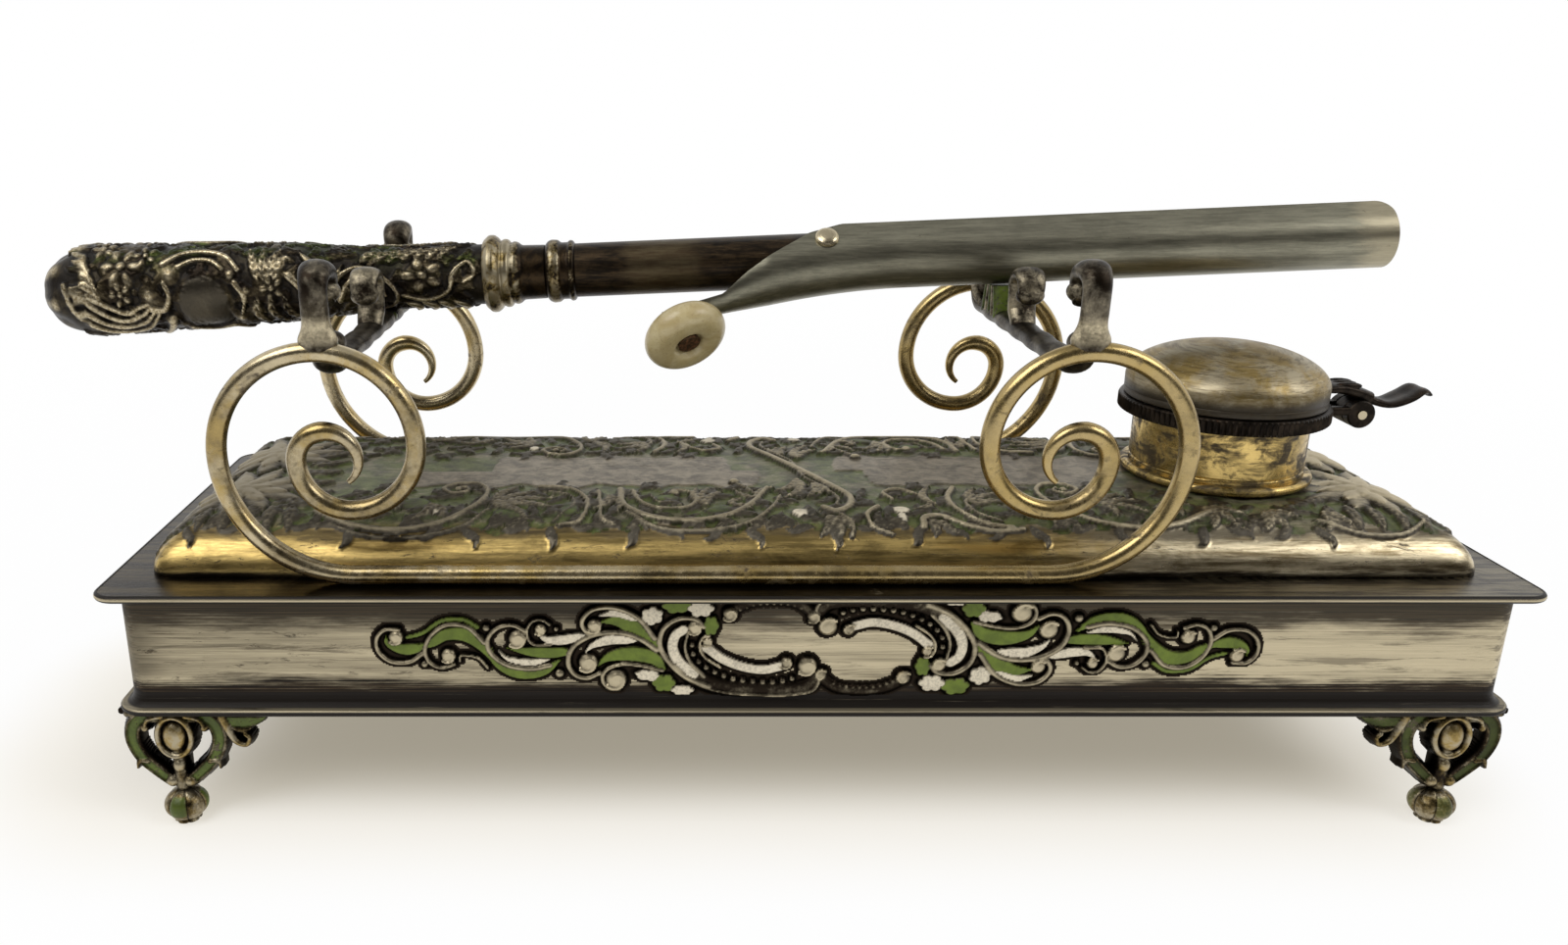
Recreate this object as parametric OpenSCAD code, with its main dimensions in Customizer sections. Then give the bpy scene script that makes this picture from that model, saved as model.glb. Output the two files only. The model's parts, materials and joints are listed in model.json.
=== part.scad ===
// Curling tongs on a footed casket stand with a spirit burner.
// Millimetres, +Z up. The feet stand on Z = 0 and the origin is under the middle of the whole object.
// X runs along the tongs, -Y is the ornamented front.

/* [Casket] */
// Length of the casket over its cover flange
casket_l = 231; // [200:1:260]
// Depth of the casket over its cover flange
casket_w = 78.3; // [74:0.1:90]
// Corner radius of the cover flange
casket_r = 4; // [3.9:0.1:8]
// Height of the feet under the base moulding
foot_h = 20.7; // [18:0.1:26]
// Height from the base moulding's underside to the cover flange's underside
case_h = 20.4; // [16:0.1:30]
// Thickness of the sheet that the casing is made of
sheet_t = 0.7; // [0.5:0.05:1.2]
// Thickness of the flanges
flange_t = 1.1; // [0.9:0.05:1.6]
// How far the cover flange overhangs the side walls
cover_overhang = 3.2; // [2:0.1:4.5]
// How far the base moulding stands out from the side walls
base_overhang = 2.3; // [1.2:0.1:3]
// Height of the cove that runs round the base moulding
cove_h = 2.4; // [1.5:0.1:4]

/* [Domed cover] */
// Distance from the cover flange's edge to the dome, front and back
dome_inset = 8; // [7.9:0.1:10]
// Distance from the cover flange's edge to the dome at the ends
dome_end_inset = 6.4; // [5:0.1:12]
// Width of the dome's rounded shoulder
shoulder_w = 11.5; // [9:0.1:14]
// Corner radius of the dome at its foot
dome_r = 4; // [3:0.1:8]
// Rise of the dome's shoulder above the flange
shoulder_h = 8; // [6:0.1:10]
// Extra rise of the crown in the middle of the dome
crown_h = 0.6; // [0.3:0.1:1.2]
// Height of the dome's chased relief
relief_h = 0.7; // [0.4:0.05:0.9]
// Width of the relief's scroll stems
stem_w = 2.2; // [1.6:0.1:2.8]

/* [Front ornament] */
// Thickness of the applied ornament
ornament_t = 1; // [0.6:0.1:1.6]
// Width of the ornament's scroll ribs
rib_w = 1.7; // [1.2:0.1:2.4]

/* [Scroll stands] */
// Diameter of the round wire
wire_d = 3.16; // [3:0.02:3.6]
// Distance from the cover flange's edge to the middle of the wire, front and back
wire_inset = 5.8; // [5:0.1:6.2]
// Distance from the stand's middle to the outermost bend of the wire
stand_half = 75.6; // [66:0.1:78]
// Place of the stand's middle along X, from the casket's middle
stand_x = -18.7; // [-22:0.1:-16]
// Bend radius where the wire rises from the foot bar
bend_rise = 20; // [19:0.1:22]
// Bend radius of the outer shoulder
bend_shoulder = 16.4; // [16:0.1:18]
// Bend radius from the top round to the inner side
bend_crown = 14.7; // [14:0.1:16]
// Bend radius of the inner side
bend_return = 10.75; // [10:0.05:11.5]
// Bend radius of the curl's bottom
bend_curl = 8.1; // [7.6:0.1:8.4]
// Bend radius of the eye of the curl
bend_eye = 4.85; // [4.4:0.05:5.2]

/* [Cradles] */
// How far each cradle stands in from the highest point of the wire's shoulder
cradle_in = 0.8; // [0:0.1:2.5]
// Width of the cast cradle strap along X
strap_w = 5.6; // [4:0.1:7]
// Thickness of the cradle strap
strap_t = 3; // [2.4:0.1:3.6]
// Drop of the cross bar's middle line below the top of the wire
bar_drop = 6.3; // [6.3:0.1:6.8]
// Height of the end posts above the wire
post_h = 12.1; // [9:0.1:13]
// Radius of the hooks on the posts
hook_r = 3.1; // [2.6:0.1:3.6]
// Diameter of the balls that end the hooks
ball_d = 3.6; // [3:0.1:4.2]
// Height of the middle curl above the top of the wire
curl_h = 7; // [5:0.1:7.6]

/* [Burner] */
// Place of the burner along X, from the casket's middle
burner_x = 76.8; // [74:0.1:78]
// Outer diameter of the burner's cup
cup_d = 29.6; // [27:0.1:30]
// Height of the cup above the dome
cup_h = 11.2; // [10:0.1:14]
// Depth of the cup under the dome
cup_sink = 14; // [8:0.5:20]
// Wall of the cup
cup_wall = 0.6; // [0.5:0.05:1]
// Diameter of the knurled collar
collar_d = 35.6; // [34.8:0.1:37]
// Thickness of the knurled collar
collar_t = 2.7; // [2.4:0.1:3.4]
// Diameter of the snuffer lid
lid_d = 34; // [32:0.1:34.4]
// Height of the lid's straight skirt
skirt_h = 3; // [2.4:0.1:4]
// Rise of the lid's dome above its skirt
lid_rise = 7; // [5:0.1:7.2]
// Distance from the burner's middle to the hinge pin
hinge_reach = 23.7; // [23.2:0.1:24.5]
// Diameter of the hinge pin
hinge_pin_d = 1.6; // [1.2:0.1:2]
// Diameter of the hinge knuckles
knuckle_d = 5; // [4.4:0.1:5.2]
// Outer diameter of the wick tube
wick_tube_d = 6.4; // [5:0.1:8]
// Height of the wick tube above the collar
wick_tube_h = 3.6; // [2.5:0.1:4]
// Depth of the wick tube under the collar
wick_tube_depth = 9; // [6:0.5:12]
// Wall of the wick tube
wick_tube_wall = 0.5; // [0.4:0.05:0.8]

/* [Tongs] */
// Place of the tongs' axis behind the casket's middle
tongs_y = 16.7; // [15.5:0.1:17.5]
// Tilt of the tongs, jaw end up
tongs_tilt = 2.44; // [2:0.01:2.8]
// Place of the pivot along X, from the casket's middle
pivot_x = 5.8; // [4:0.1:8]
// Height of the pivot above the cover flange's underside
pivot_z = 45.97; // [45.5:0.01:46.6]
// Diameter of the steel rod
rod_d = 10; // [9:0.1:10.2]
// Length of the jaw past the pivot
jaw_l = 104.4; // [96:0.1:108]
// Clearance between the rod and the jaw's inside
jaw_clear = 0.2; // [0.15:0.01:0.4]
// Wall of the jaw's channel
jaw_wall = 0.65; // [0.5:0.05:0.8]
// Height of the jaw's cheeks past the rod's axis
cheek_h = 3.4; // [2.8:0.1:4]
// How far the thumb lever's underside has dropped at its end
lever_drop = 8; // [7:0.1:8.6]
// Length of the thumb lever from the pivot to the button
lever_l = 28; // [26:0.1:30]
// Direction in which the jaw opens, in degrees below level towards the front
jaw_face = 40; // [30:1:50]
// Diameter of the pivot screw's shank
pivot_d = 2; // [1.6:0.1:2.4]
// Diameter of the pivot screw's heads
pivot_head_d = 4.4; // [3.6:0.1:5]
// Diameter of the pearl button
button_d = 15.4; // [12:0.1:16]
// Thickness of the pearl button
button_t = 6; // [4:0.1:6.4]
// Diameter of the button's rivet
rivet_d = 4.2; // [3:0.1:5]

/* [Handle] */
// Distance from the pivot to the handle's left tip
handle_reach = 147; // [140:0.5:150]
// Length of the domed pommel cap
pommel_l = 10; // [8:0.1:12]
// Radius of the handle at the pommel
butt_r = 8.3; // [7.4:0.1:8.8]
// Radius of the handle's waist
waist_r = 5.5; // [5:0.05:5.8]
// Distance from the pivot to the ferrule's left end
ferrule_reach = 64; // [62:0.1:66]
// Distance from the pivot to the ferrule's right end
ferrule_end = 52.4; // [52:0.1:54]
// Radius of the ferrule's flange
ferrule_r = 7.2; // [6.6:0.1:7.6]
// Radius of the ring at the end of the neck
ring_r = 5.9; // [5.5:0.1:6.3]
// Width of the ring at the end of the neck
ring_w = 4; // [3:0.1:5]
// Diameter of the tang inside the handle
tang_d = 5; // [4:0.1:6]

/* [Fits] */
// Radial clearance of the running fits
run_clear = 0.05; // [0.02:0.01:0.09]
// Gap between parts that rest on each other and come apart
rest_gap = 0.15; // [0.1:0.01:0.3]

/* [Hidden] */
$fn = 64;

tiny = 0.01;
flange_z = foot_h + case_h;
deck_z = flange_z + flange_t;
wall_l = casket_l - 2 * cover_overhang;
wall_w = casket_w - 2 * cover_overhang;
wall_r = casket_r - 1;
base_l = wall_l + 2 * base_overhang;
base_w = wall_w + 2 * base_overhang;
base_r = wall_r + base_overhang;
dome_l = casket_l - 2 * dome_end_inset;
dome_w = casket_w - 2 * dome_inset;
dome_top = deck_z + shoulder_h + crown_h;
bead_r = 0.62;

// the wire lies on the flange, and its turns follow from the bend radii
wire_r = wire_d / 2;
wire_gap = casket_w - 2 * wire_inset;
bar_z = deck_z + wire_r;
wire_top = bar_z + bend_rise + bend_shoulder + wire_r;
EYE_TIP = 55;
VOLUTE = [
    [bend_rise, 90], [bend_shoulder, 90], [bend_crown, 90], [bend_return, 90],
    [bend_curl, 90], [bend_eye, 90], [bend_eye, 90], [bend_eye * 0.85, EYE_TIP]
];
ROUND_TURNS = 5;
tip_r = 0.45;
cradle_half = stand_half - bend_shoulder - cradle_in;

foot_x = casket_l / 2 - 10;
foot_y = base_w / 2 - 3.4;
toe_r = 3.7;
toe_h = 5.8;

cup_r = cup_d / 2;
foot_bead_r = 0.75;
foot_ring_r = cup_r + 2 * foot_bead_r;
foot_ring_h = 1.6;
cup_top = dome_top + cup_h;
collar_top = cup_top + collar_t;
cup_floor = 1;
wadding_low = dome_top - cup_sink + cup_floor;
wadding_socket = 3.3;
wick_stands_out = 0.6;
hinge_z = collar_top - knuckle_d / 2;
lever_reach = 12.4;
knuckle_half = 1.5;
lug_w = 1.9;

rod_r = rod_d / 2;
jaw_in = rod_r + jaw_clear;
jaw_out = jaw_in + jaw_wall;
pivot_world_z = flange_z + pivot_z;
jaw_roll = -(90 - jaw_face);
rivet_shank = 1.8;
flare_at = 16;
tail_end = lever_l + 3;
tongs_left = pivot_x - handle_reach * cos(tongs_tilt) - tiny;
shift_x = -(tongs_left + casket_l / 2) / 2;

// ---- functions -------------------------------------------------------------

// points along a chain of bends, each [radius, turn in degrees], from point p with heading h
function trail(bends, p, h, step = 15, i = 0) =
    i == len(bends) ? [] :
    let (
        r = bends[i][0],
        a = bends[i][1],
        n = max(1, ceil(abs(a) / step)),
        s = sign(a),
        leg = [
            for (k = [1 : n]) let (g = h + a * k / n)
            p + r * s * [sin(g) - sin(h), cos(h) - cos(g)]
        ]
    )
    concat(leg, trail(bends, leg[n - 1], h + a, step, i + 1));

// point and heading after the first n bends
function trail_end(bends, n, p, h, i = 0) =
    i == n ? [p, h] :
    let (g = h + bends[i][1], s = sign(bends[i][1]))
    trail_end(bends, n, p + bends[i][0] * s * [sin(g) - sin(h), cos(h) - cos(g)], g, i + 1);

function part_of(list, from, to) = [for (i = [from : to - 1]) list[i]];

// unit normal of a planar path at point i
function path_normal(path, i) =
    let (
        a = path[max(i - 1, 0)],
        b = path[min(i + 1, len(path) - 1)],
        d = (b - a) / norm(b - a)
    )
    [-d[1], d[0]];

// closed outline of a strip that follows a path, with the widths at its start and end
function strip_points(path, w0, w1) =
    let (
        last = len(path) - 1,
        half = [for (i = [0 : last]) (w0 + (w1 - w0) * i / last) / 2]
    )
    concat(
        [for (i = [0 : last]) path[i] + half[i] * path_normal(path, i)],
        [for (i = [last : -1 : 0]) path[i] - half[i] * path_normal(path, i)]
    );

// height of the tongs' axis at a place along X
function axis_z(x) = pivot_world_z + (x - pivot_x) * tan(tongs_tilt);

// radius of the handle at a distance left of the pivot
function handle_r(reach) = lookup(reach, [
    [ferrule_reach, waist_r + 0.3],
    [ferrule_reach + 17, waist_r],
    [ferrule_reach + 37, waist_r + 1.6],
    [handle_reach - pommel_l, butt_r]
]);

// drop of the lever's underside, a parabola that starts right of the pivot
function flare(x) = x > flare_at ? 0 : lever_drop * pow((flare_at - x) / (flare_at + lever_l), 2);

// half width and cheek height of the lever's trough
function trough_w(x) = lookup(x, [
    [-tail_end, 2.2], [-19.6, 3.4], [-15, 4.9], [-11, jaw_out - 0.1], [-8, jaw_out]
]);
function trough_h(x) = lookup(x, [
    [-tail_end, -jaw_in - lever_drop + 0.6], [-19.6, -9.6], [-15, -6.2], [-7.6, -1.4],
    [-3, 1.6], [3, cheek_h]
]);

// ---- shared shapes ---------------------------------------------------------

// rounded rectangle
module rounded(l, w, r) {
    square([l - 2 * r, w], center = true);
    square([l, w - 2 * r], center = true);
    for (x = [-1, 1], y = [-1, 1])
        translate([x * (l / 2 - r), y * (w / 2 - r)]) circle(r);
}

// runs a profile round a rectangle with rounded corners; the profile's X = r is the outer face
module run_round(l, w, r) {
    for (x = [-1, 1], y = [-1, 1])
        translate([x * (l / 2 - r), y * (w / 2 - r), 0])
            rotate([0, 0, x > 0 ? (y > 0 ? 0 : -90) : (y > 0 ? 90 : 180)])
                rotate_extrude(angle = 90) children();
    for (side = [0, 180])
        rotate([0, 0, side]) {
            translate([0, w / 2 - r, 0]) rotate([90, 0, 90])
                linear_extrude(l - 2 * r, center = true) children();
            translate([l / 2 - r, 0, 0]) rotate([90, 0, 0])
                linear_extrude(w - 2 * r, center = true) children();
        }
}

// solid pillow: an arched cover with its upright corners rounded to r
module pillow(l, w, r, w_s, rise, crown) {
    intersection() {
        linear_extrude(rise + 2 * crown) rounded(l, w, r);
        arch_cover(l, w, w_s, rise, crown);
    }
}

// crossing of two arched covers, one along each axis, with the same shoulder profile as pillow
module arch_cover(l, w, w_s, rise, crown) {
    intersection() {
        translate([0, w / 2, 0]) rotate([90, 0, 0]) linear_extrude(w) arch(l, w / 2, w_s, rise, crown);
        translate([-l / 2, 0, 0]) rotate([90, 0, 90]) linear_extrude(l) arch(w, w / 2, w_s, rise, crown);
    }
}

// arch profile of span s: an elliptical shoulder w_s wide, then a gentle crown up to reach half_w
module arch(s, half_w, w_s, rise, crown) {
    steps = 8;
    crown_steps = 3;
    side = concat(
        [for (i = [0 : steps]) let (a = 90 * i / steps) [w_s * (1 - cos(a)), rise * sin(a)]],
        [for (i = [1 : crown_steps]) let (t = i / crown_steps)
            [w_s + t * (half_w - w_s) * 0.84, rise + crown * (1 - pow(1 - t, 2))]]
    );
    last = len(side) - 1;
    polygon(concat(
        [for (p = side) [p[0] - s / 2, p[1]]],
        [for (i = [last : -1 : 0]) [s / 2 - side[i][0], side[i][1]]]
    ));
}

// exact round bends of a wire in the XY plane
module round_bends(bends, n, p, h, r, i = 0) {
    if (i < n) {
        radius = bends[i][0];
        turn = bends[i][1];
        s = sign(turn);
        centre = p + radius * s * [-sin(h), cos(h)];
        from = s > 0 ? h - 90 : h + 90 + turn;
        translate([centre[0], centre[1], 0]) rotate([0, 0, from])
            rotate_extrude(angle = abs(turn)) translate([radius, 0]) circle(r, $fn = 24);
        next = trail_end([bends[i]], 1, p, h);
        round_bends(bends, n, next[0], next[1], r, i + 1);
    }
}

// tapering round rod along a planar path
module taper_rod(path, r0, r1, sides = 10) {
    last = len(path) - 1;
    rings = [
        for (i = [0 : last]) let (nrm = path_normal(path, i), r = r0 + (r1 - r0) * i / last)
        for (k = [0 : sides - 1]) let (a = 360 * k / sides)
        [path[i][0] + r * cos(a) * nrm[0], path[i][1] + r * cos(a) * nrm[1], r * sin(a)]
    ];
    skin = [
        for (i = [0 : last - 1], k = [0 : sides - 1]) let (m = (k + 1) % sides)
        each [
            [i * sides + k, (i + 1) * sides + m, i * sides + m],
            [i * sides + k, (i + 1) * sides + k, (i + 1) * sides + m]
        ]
    ];
    polyhedron(rings, concat(
        skin,
        [[for (k = [0 : sides - 1]) k]],
        [[for (k = [sides - 1 : -1 : 0]) last * sides + k]]
    ));
}

// puts a shape drawn in the XY plane upright, with its Y upwards and its front to -Y
module upright() {
    rotate([90, 0, 0]) children();
}

// places a shape drawn round the tongs' axis, pivot at the origin, jaw end to +X
module on_tongs(roll = 0) {
    translate([pivot_x, tongs_y, pivot_world_z])
        rotate([0, -tongs_tilt, 0]) rotate([roll, 0, 0]) children();
}

// turned piece on the tongs' axis, profile in [distance left of the pivot, radius]
module turned(points) {
    rotate([0, -90, 0]) rotate_extrude() polygon([for (p = points) [p[1], p[0]]]);
}

// moves the casket so that the origin is under the middle of the whole object
module in_frame() {
    translate([shift_x, 0, 0]) children();
}

module at_burner(z = 0) {
    translate([burner_x, 0, z]) children();
}

// ---- casket ----------------------------------------------------------------

module cover_dome() {
    color("darkkhaki") in_frame() {
        difference() {
            union() {
                translate([0, 0, flange_z]) linear_extrude(flange_t)
                    rounded(casket_l - 2 * bead_r, casket_w - 2 * bead_r, casket_r - bead_r);
                translate([0, 0, deck_z]) pillow(dome_l, dome_w, dome_r, shoulder_w, shoulder_h, crown_h);
                cover_relief();
                at_burner(deck_z) cylinder(r = cup_r + 1.2, h = dome_top - deck_z);
            }
            translate([0, 0, flange_z - tiny]) pillow(
                dome_l - 2 * sheet_t, dome_w - 2 * sheet_t, dome_r - sheet_t, shoulder_w - sheet_t,
                shoulder_h + flange_t - sheet_t, crown_h
            );
            at_burner(flange_z - 1) cylinder(r = cup_r + run_clear, h = cup_top);
        }
    }
}

// chased leaves and scrolls, which are the same when the cover is turned end for end
module cover_relief() {
    difference() {
        intersection() {
            translate([0, 0, deck_z + shoulder_h / 2])
                for (turn = [0, 180])
                    rotate([0, 0, turn]) {
                        left_band();
                        right_band();
                        end_flower();
                    }
            translate([0, 0, deck_z]) arch_cover(
                dome_l + 2 * relief_h, dome_w + 2 * relief_h,
                shoulder_w + relief_h, shoulder_h + relief_h, crown_h
            );
        }
        at_burner(deck_z) cylinder(r = foot_ring_r + relief_h, h = 2 * shoulder_h);
    }
}

// scroll stem of the relief from point p with heading h
module stem(p, h, bends, w0 = stem_w, w1 = stem_w * 0.5) {
    linear_extrude(shoulder_h)
        polygon(strip_points(concat([p], trail(bends, p, h, 24)), w0, w1));
}

// pointed leaf of the relief, l long, from point p with heading h
module leaf(p, h, l, w) {
    translate(p) rotate([0, 0, h]) linear_extrude(shoulder_h)
        polygon([
            [0, 0], [l * 0.2, -w * 0.4], [l * 0.5, -w * 0.5], [l * 0.8, -w * 0.3],
            [l, 0], [l * 0.8, w * 0.3], [l * 0.5, w * 0.5], [l * 0.2, w * 0.4]
        ]);
}

// scroll that sweeps along the cover's edge and winds up at its right-hand end, with two leaves in it
module great_scroll() {
    stem([-81, -22.5], -30, [[22, 42], [11, 70], [14, 20], [4.4, 120], [3.2, 120], [2, 150]]);
    leaf([-65.4, -22.4], 118, 8, 3);
    leaf([-75, -21.6], 60, 9, 3.2);
}

// front band left of the middle, and the stem that crosses between the two plain panels
module left_band() {
    great_scroll();
    stem([-31.8, -13.8], -88, [[10.5, 88], [16, 55], [14, 20]]);
    stem([-29.4, -12], -84, [[6, 84], [4.6, 120]], stem_w * 0.8);
    stem([-46, -11], 20, [[5, -110], [9, -50]]);
    stem([-35.2, -13], -100, [[16, 45]], stem_w * 0.8);
    stem([0, 0], -66, [[30, -12], [18, 24], [3, -150]]);
    leaf([-53.4, -20.4], 56, 12, 3.2);
    leaf([-52.6, -20.8], 14, 10, 3.4);
    leaf([-20, -23.4], 46, 11, 3.2);
    leaf([-17, -17.6], 84, 8, 3);
    leaf([-3.4, -18], 72, 12, 3.2);
}

// front band right of the middle
module right_band() {
    great_shift = 15;
    mirror([1, 0, 0]) translate([great_shift, 0, 0]) great_scroll();
    stem([14.2, -15.6], 108, [[2.6, -130], [14, -30]], stem_w * 0.8);
    stem([26, -8.4], -108, [[15, 46], [13, 52]]);
    stem([19, -22.8], 200, [[1.9, 150], [80, 11]], stem_w * 0.8);
    stem([12.8, -18.4], 205, [[4.6, 120]], stem_w * 0.8);
    leaf([23.8, -18.6], 112, 11, 3.2);
    leaf([31.4, -18.6], 68, 10, 3.2);
    leaf([35.6, -21.4], 30, 7, 3);
    leaf([9, -12], -76, 12, 3.2);
    leaf([68.6, -23.6], 20, 9, 3.4);
    leaf([79, -23.4], 6, 9, 3.2);
}

// flower at each corner of the end
module end_flower() {
    petals = 9;
    for (y = [-1, 1]) translate([dome_l / 2 - shoulder_w - 1, y * 10.6, 0]) {
        for (i = [1 : petals]) let (a = 360 * i / petals) leaf(3.4 * [cos(a), sin(a)], a, 7.4, 3.4);
        cylinder(r = 2.4, h = shoulder_h, $fn = 12);
    }
}

module cover_rim() {
    color("silver") in_frame() translate([0, 0, flange_z + flange_t / 2])
        run_round(casket_l, casket_w, casket_r)
            intersection() {
                translate([casket_r - bead_r, 0]) circle(bead_r, $fn = 20);
                translate([casket_r - bead_r, -bead_r]) square(2 * bead_r);
            }
}

module casing_band() {
    color("tan") in_frame() translate([0, 0, foot_h + flange_t])
        linear_extrude(case_h - flange_t)
            difference() {
                rounded(wall_l, wall_w, wall_r);
                rounded(wall_l - 2 * sheet_t, wall_w - 2 * sheet_t, wall_r - sheet_t);
            }
}

module base_moulding() {
    steps = 6;
    top_r = wall_r;
    reach = base_overhang - 0.9;
    color("rosybrown") in_frame() translate([0, 0, foot_h])
        run_round(base_l, base_w, base_r)
            polygon(concat(
                [[base_r - 0.35, 0], [base_r, 0.35], [base_r, flange_t - 0.35], [base_r - 0.35, flange_t]],
                [for (i = [0 : steps]) let (a = 90 * i / steps)
                    [base_r - 0.9 - reach * sin(a), flange_t + cove_h * (1 - cos(a))]],
                [[top_r, flange_t], [top_r - sheet_t - 2, flange_t], [top_r - sheet_t - 2, 0]]
            ));
}

module base_plate() {
    ledge = sheet_t + 2;
    color("dimgray") in_frame() translate([0, 0, foot_h + 0.2])
        linear_extrude(sheet_t)
            rounded(wall_l - 2 * ledge, wall_w - 2 * ledge, wall_r - ledge);
}

// ---- front ornament ----------------------------------------------------------

// one rib of the running scroll
module rib(bends, p, h, w0 = rib_w, w1 = rib_w * 0.6) {
    linear_extrude(ornament_t)
        polygon(strip_points(concat([p], trail(bends, p, h, 18)), w0, w1));
}

module half_ornament() {
    rib([[6.6, -180]], [9, 6.3], 0, rib_w, rib_w);
    rib([[5.4, 120], [2.2, 190]], [10, -6.4], 4);
    rib([[5, -150], [2.4, -120]], [17, -1], 70);
    rib([[6.2, 110], [2.2, 170]], [27.5, 1], -60);
    rib([[5.4, -110], [2, -170]], [38, -1.5], 62);
    rib([[5.2, 100], [1.7, 180]], [47, 1], -52);
    rib([[4.8, -100], [1.6, -180]], [56, -1], 50);
    rib([[62, -17]], [-9, 6.3], 8.5, rib_w, rib_w);
    rib([[16, 50], [16, -50], [16, 50], [16, -40]], [14.6, -0.6], -25, rib_w, rib_w * 0.7);
    for (p = [[20.2, -3], [33.8, 1.6], [42.6, -0.6], [52.2, 1.2]])
        translate(p) cylinder(r = 1.7, h = ornament_t);
    for (p = [[24.6, -0.8], [37, -0.6]])
        translate(p) cylinder(r = 2.4, h = ornament_t);
}

module front_ornament() {
    color("yellowgreen") in_frame()
        translate([0, -wall_w / 2, foot_h + flange_t + (case_h - flange_t + cove_h) / 2])
            upright() {
                half_ornament();
                rotate([0, 0, 180]) half_ornament();
            }
}

// ---- feet --------------------------------------------------------------------

// cast foot hanging from [0, 0], with its leaf wing towards +X
module foot() {
    depth = 4.4;
    bracket = [-8.6, 17.8];
    bracket_t = 1.3;
    boss_z = -6.9;
    boss_half = [2.7, 3.9];
    bead = 1.1;
    wing_t = 2.2;
    corner_leaf_t = 1.6;
    toe_top = toe_h - foot_h;
    loop_r = 1.25;
    loop_top = [2.4, -1.5];
    loop_foot = [1.5, toe_top + 0.8];
    loop = concat([loop_top], trail([[5.1, -80], [8.2, -66]], loop_top, 0), [loop_foot]);
    for (side = [-1, 1])
        mirror([side < 0 ? 1 : 0, 0, 0]) upright() taper_rod(loop, loop_r, loop_r * 0.85, 8);
    translate([0, 0, boss_z]) rotate_extrude()
        polygon([for (i = [-6 : 6]) [boss_half[0] * cos(15 * i), boss_half[1] * sin(15 * i)]]);
    translate([0, 0, -foot_h]) rotate_extrude()
        polygon(concat(
            [[0, 0], [2, 0]],
            [for (i = [-3 : 5]) [toe_r * cos(15 * i), toe_h / 2 + toe_h / 2 * sin(15 * i) * 1.02]],
            [[0, toe_h - 0.3]]
        ));
    translate([0, 0, toe_top - 1]) cylinder(r = 1.5, h = -toe_top);
    for (side = [-1, 1])
        translate([side * 1.5, -1.4, toe_top + 0.6]) sphere(bead, $fn = 24);
    translate([bracket[0], -depth / 2, -bracket_t]) cube([bracket[1] - bracket[0], depth, bracket_t]);
    upright() translate([0, 0, -wing_t / 2]) linear_extrude(wing_t) wing();
    translate([bracket[0], 0, 0]) rotate([90, 0, 90]) linear_extrude(corner_leaf_t)
        polygon([[0, 0], [9, 0], [8.2, -1.6], [4.6, -3.2], [2.6, -8.6], [0.6, -9.2]]);
}

// leaf wing of the foot
module wing() {
    polygon([
        [9.4, 0], [17.8, 0], [17.2, -1.5], [15.6, -1.9], [14.9, -3], [12.6, -3.3],
        [12.2, -4.8], [12.3, -6.3], [11.4, -7.1], [10.2, -6.6], [9.4, -4.2]
    ]);
}

module place_foot(x, y) {
    color("olivedrab") in_frame() translate([x * foot_x, y * foot_y, foot_h])
        scale([-x, -y, 1]) foot();
}

module foot_front_left() { place_foot(-1, -1); }
module foot_front_right() { place_foot(1, -1); }
module foot_rear_left() { place_foot(-1, 1); }
module foot_rear_right() { place_foot(1, 1); }

// ---- scroll stands -------------------------------------------------------------

// bar and right-hand volute, drawn in the XY plane from the bar's middle
module half_wire() {
    start = [stand_half - bend_rise, 0];
    turned_end = trail_end(VOLUTE, ROUND_TURNS, start, 0);
    eye = part_of(VOLUTE, ROUND_TURNS, len(VOLUTE));
    rotate([0, 90, 0]) cylinder(r = wire_r, h = start[0], $fn = 24);
    round_bends(VOLUTE, ROUND_TURNS, start, 0, wire_r);
    taper_rod(
        concat([turned_end[0]], trail(eye, turned_end[0], turned_end[1], 15)),
        wire_r * 0.985, tip_r
    );
}

module scroll_wire(y) {
    color("goldenrod") in_frame() translate([stand_x, y * wire_gap / 2, bar_z]) upright() {
        half_wire();
        mirror([1, 0, 0]) half_wire();
    }
}

module front_scroll_wire() { scroll_wire(-1); }
module rear_scroll_wire() { scroll_wire(1); }

// ---- cradles ---------------------------------------------------------------------

// half of the cradle's strap in the plane [distance from the middle, height over the wire top]
module half_strap() {
    half = wire_gap / 2;
    post_top = post_h - hook_r - strap_t / 2;
    dip_r = bar_drop - strap_t / 2 + 1.5;
    // cross bar
    translate([0, -bar_drop - strap_t / 2]) square([half - dip_r, strap_t]);
    // dip from the bar up to the post
    rib_path = concat(
        [[half - dip_r, -bar_drop]],
        trail([[dip_r, 90]], [half - dip_r, -bar_drop], 0, 12)
    );
    polygon(strip_points(concat(rib_path, [[half, post_top]]), strap_t, strap_t * 0.9));
    // hook
    hook = concat([[half, post_top]], trail([[hook_r, 190]], [half, post_top], 90, 15));
    polygon(strip_points(hook, strap_t * 0.9, strap_t * 0.7));
}

module middle_curl() {
    r = 3;
    top = curl_h - r - strap_t * 0.4;
    curl = concat([[r, -bar_drop]], [[r, top]], trail([[r, 200]], [r, top], 90, 20));
    polygon(strip_points(curl, strap_t, strap_t * 0.7));
}

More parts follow.
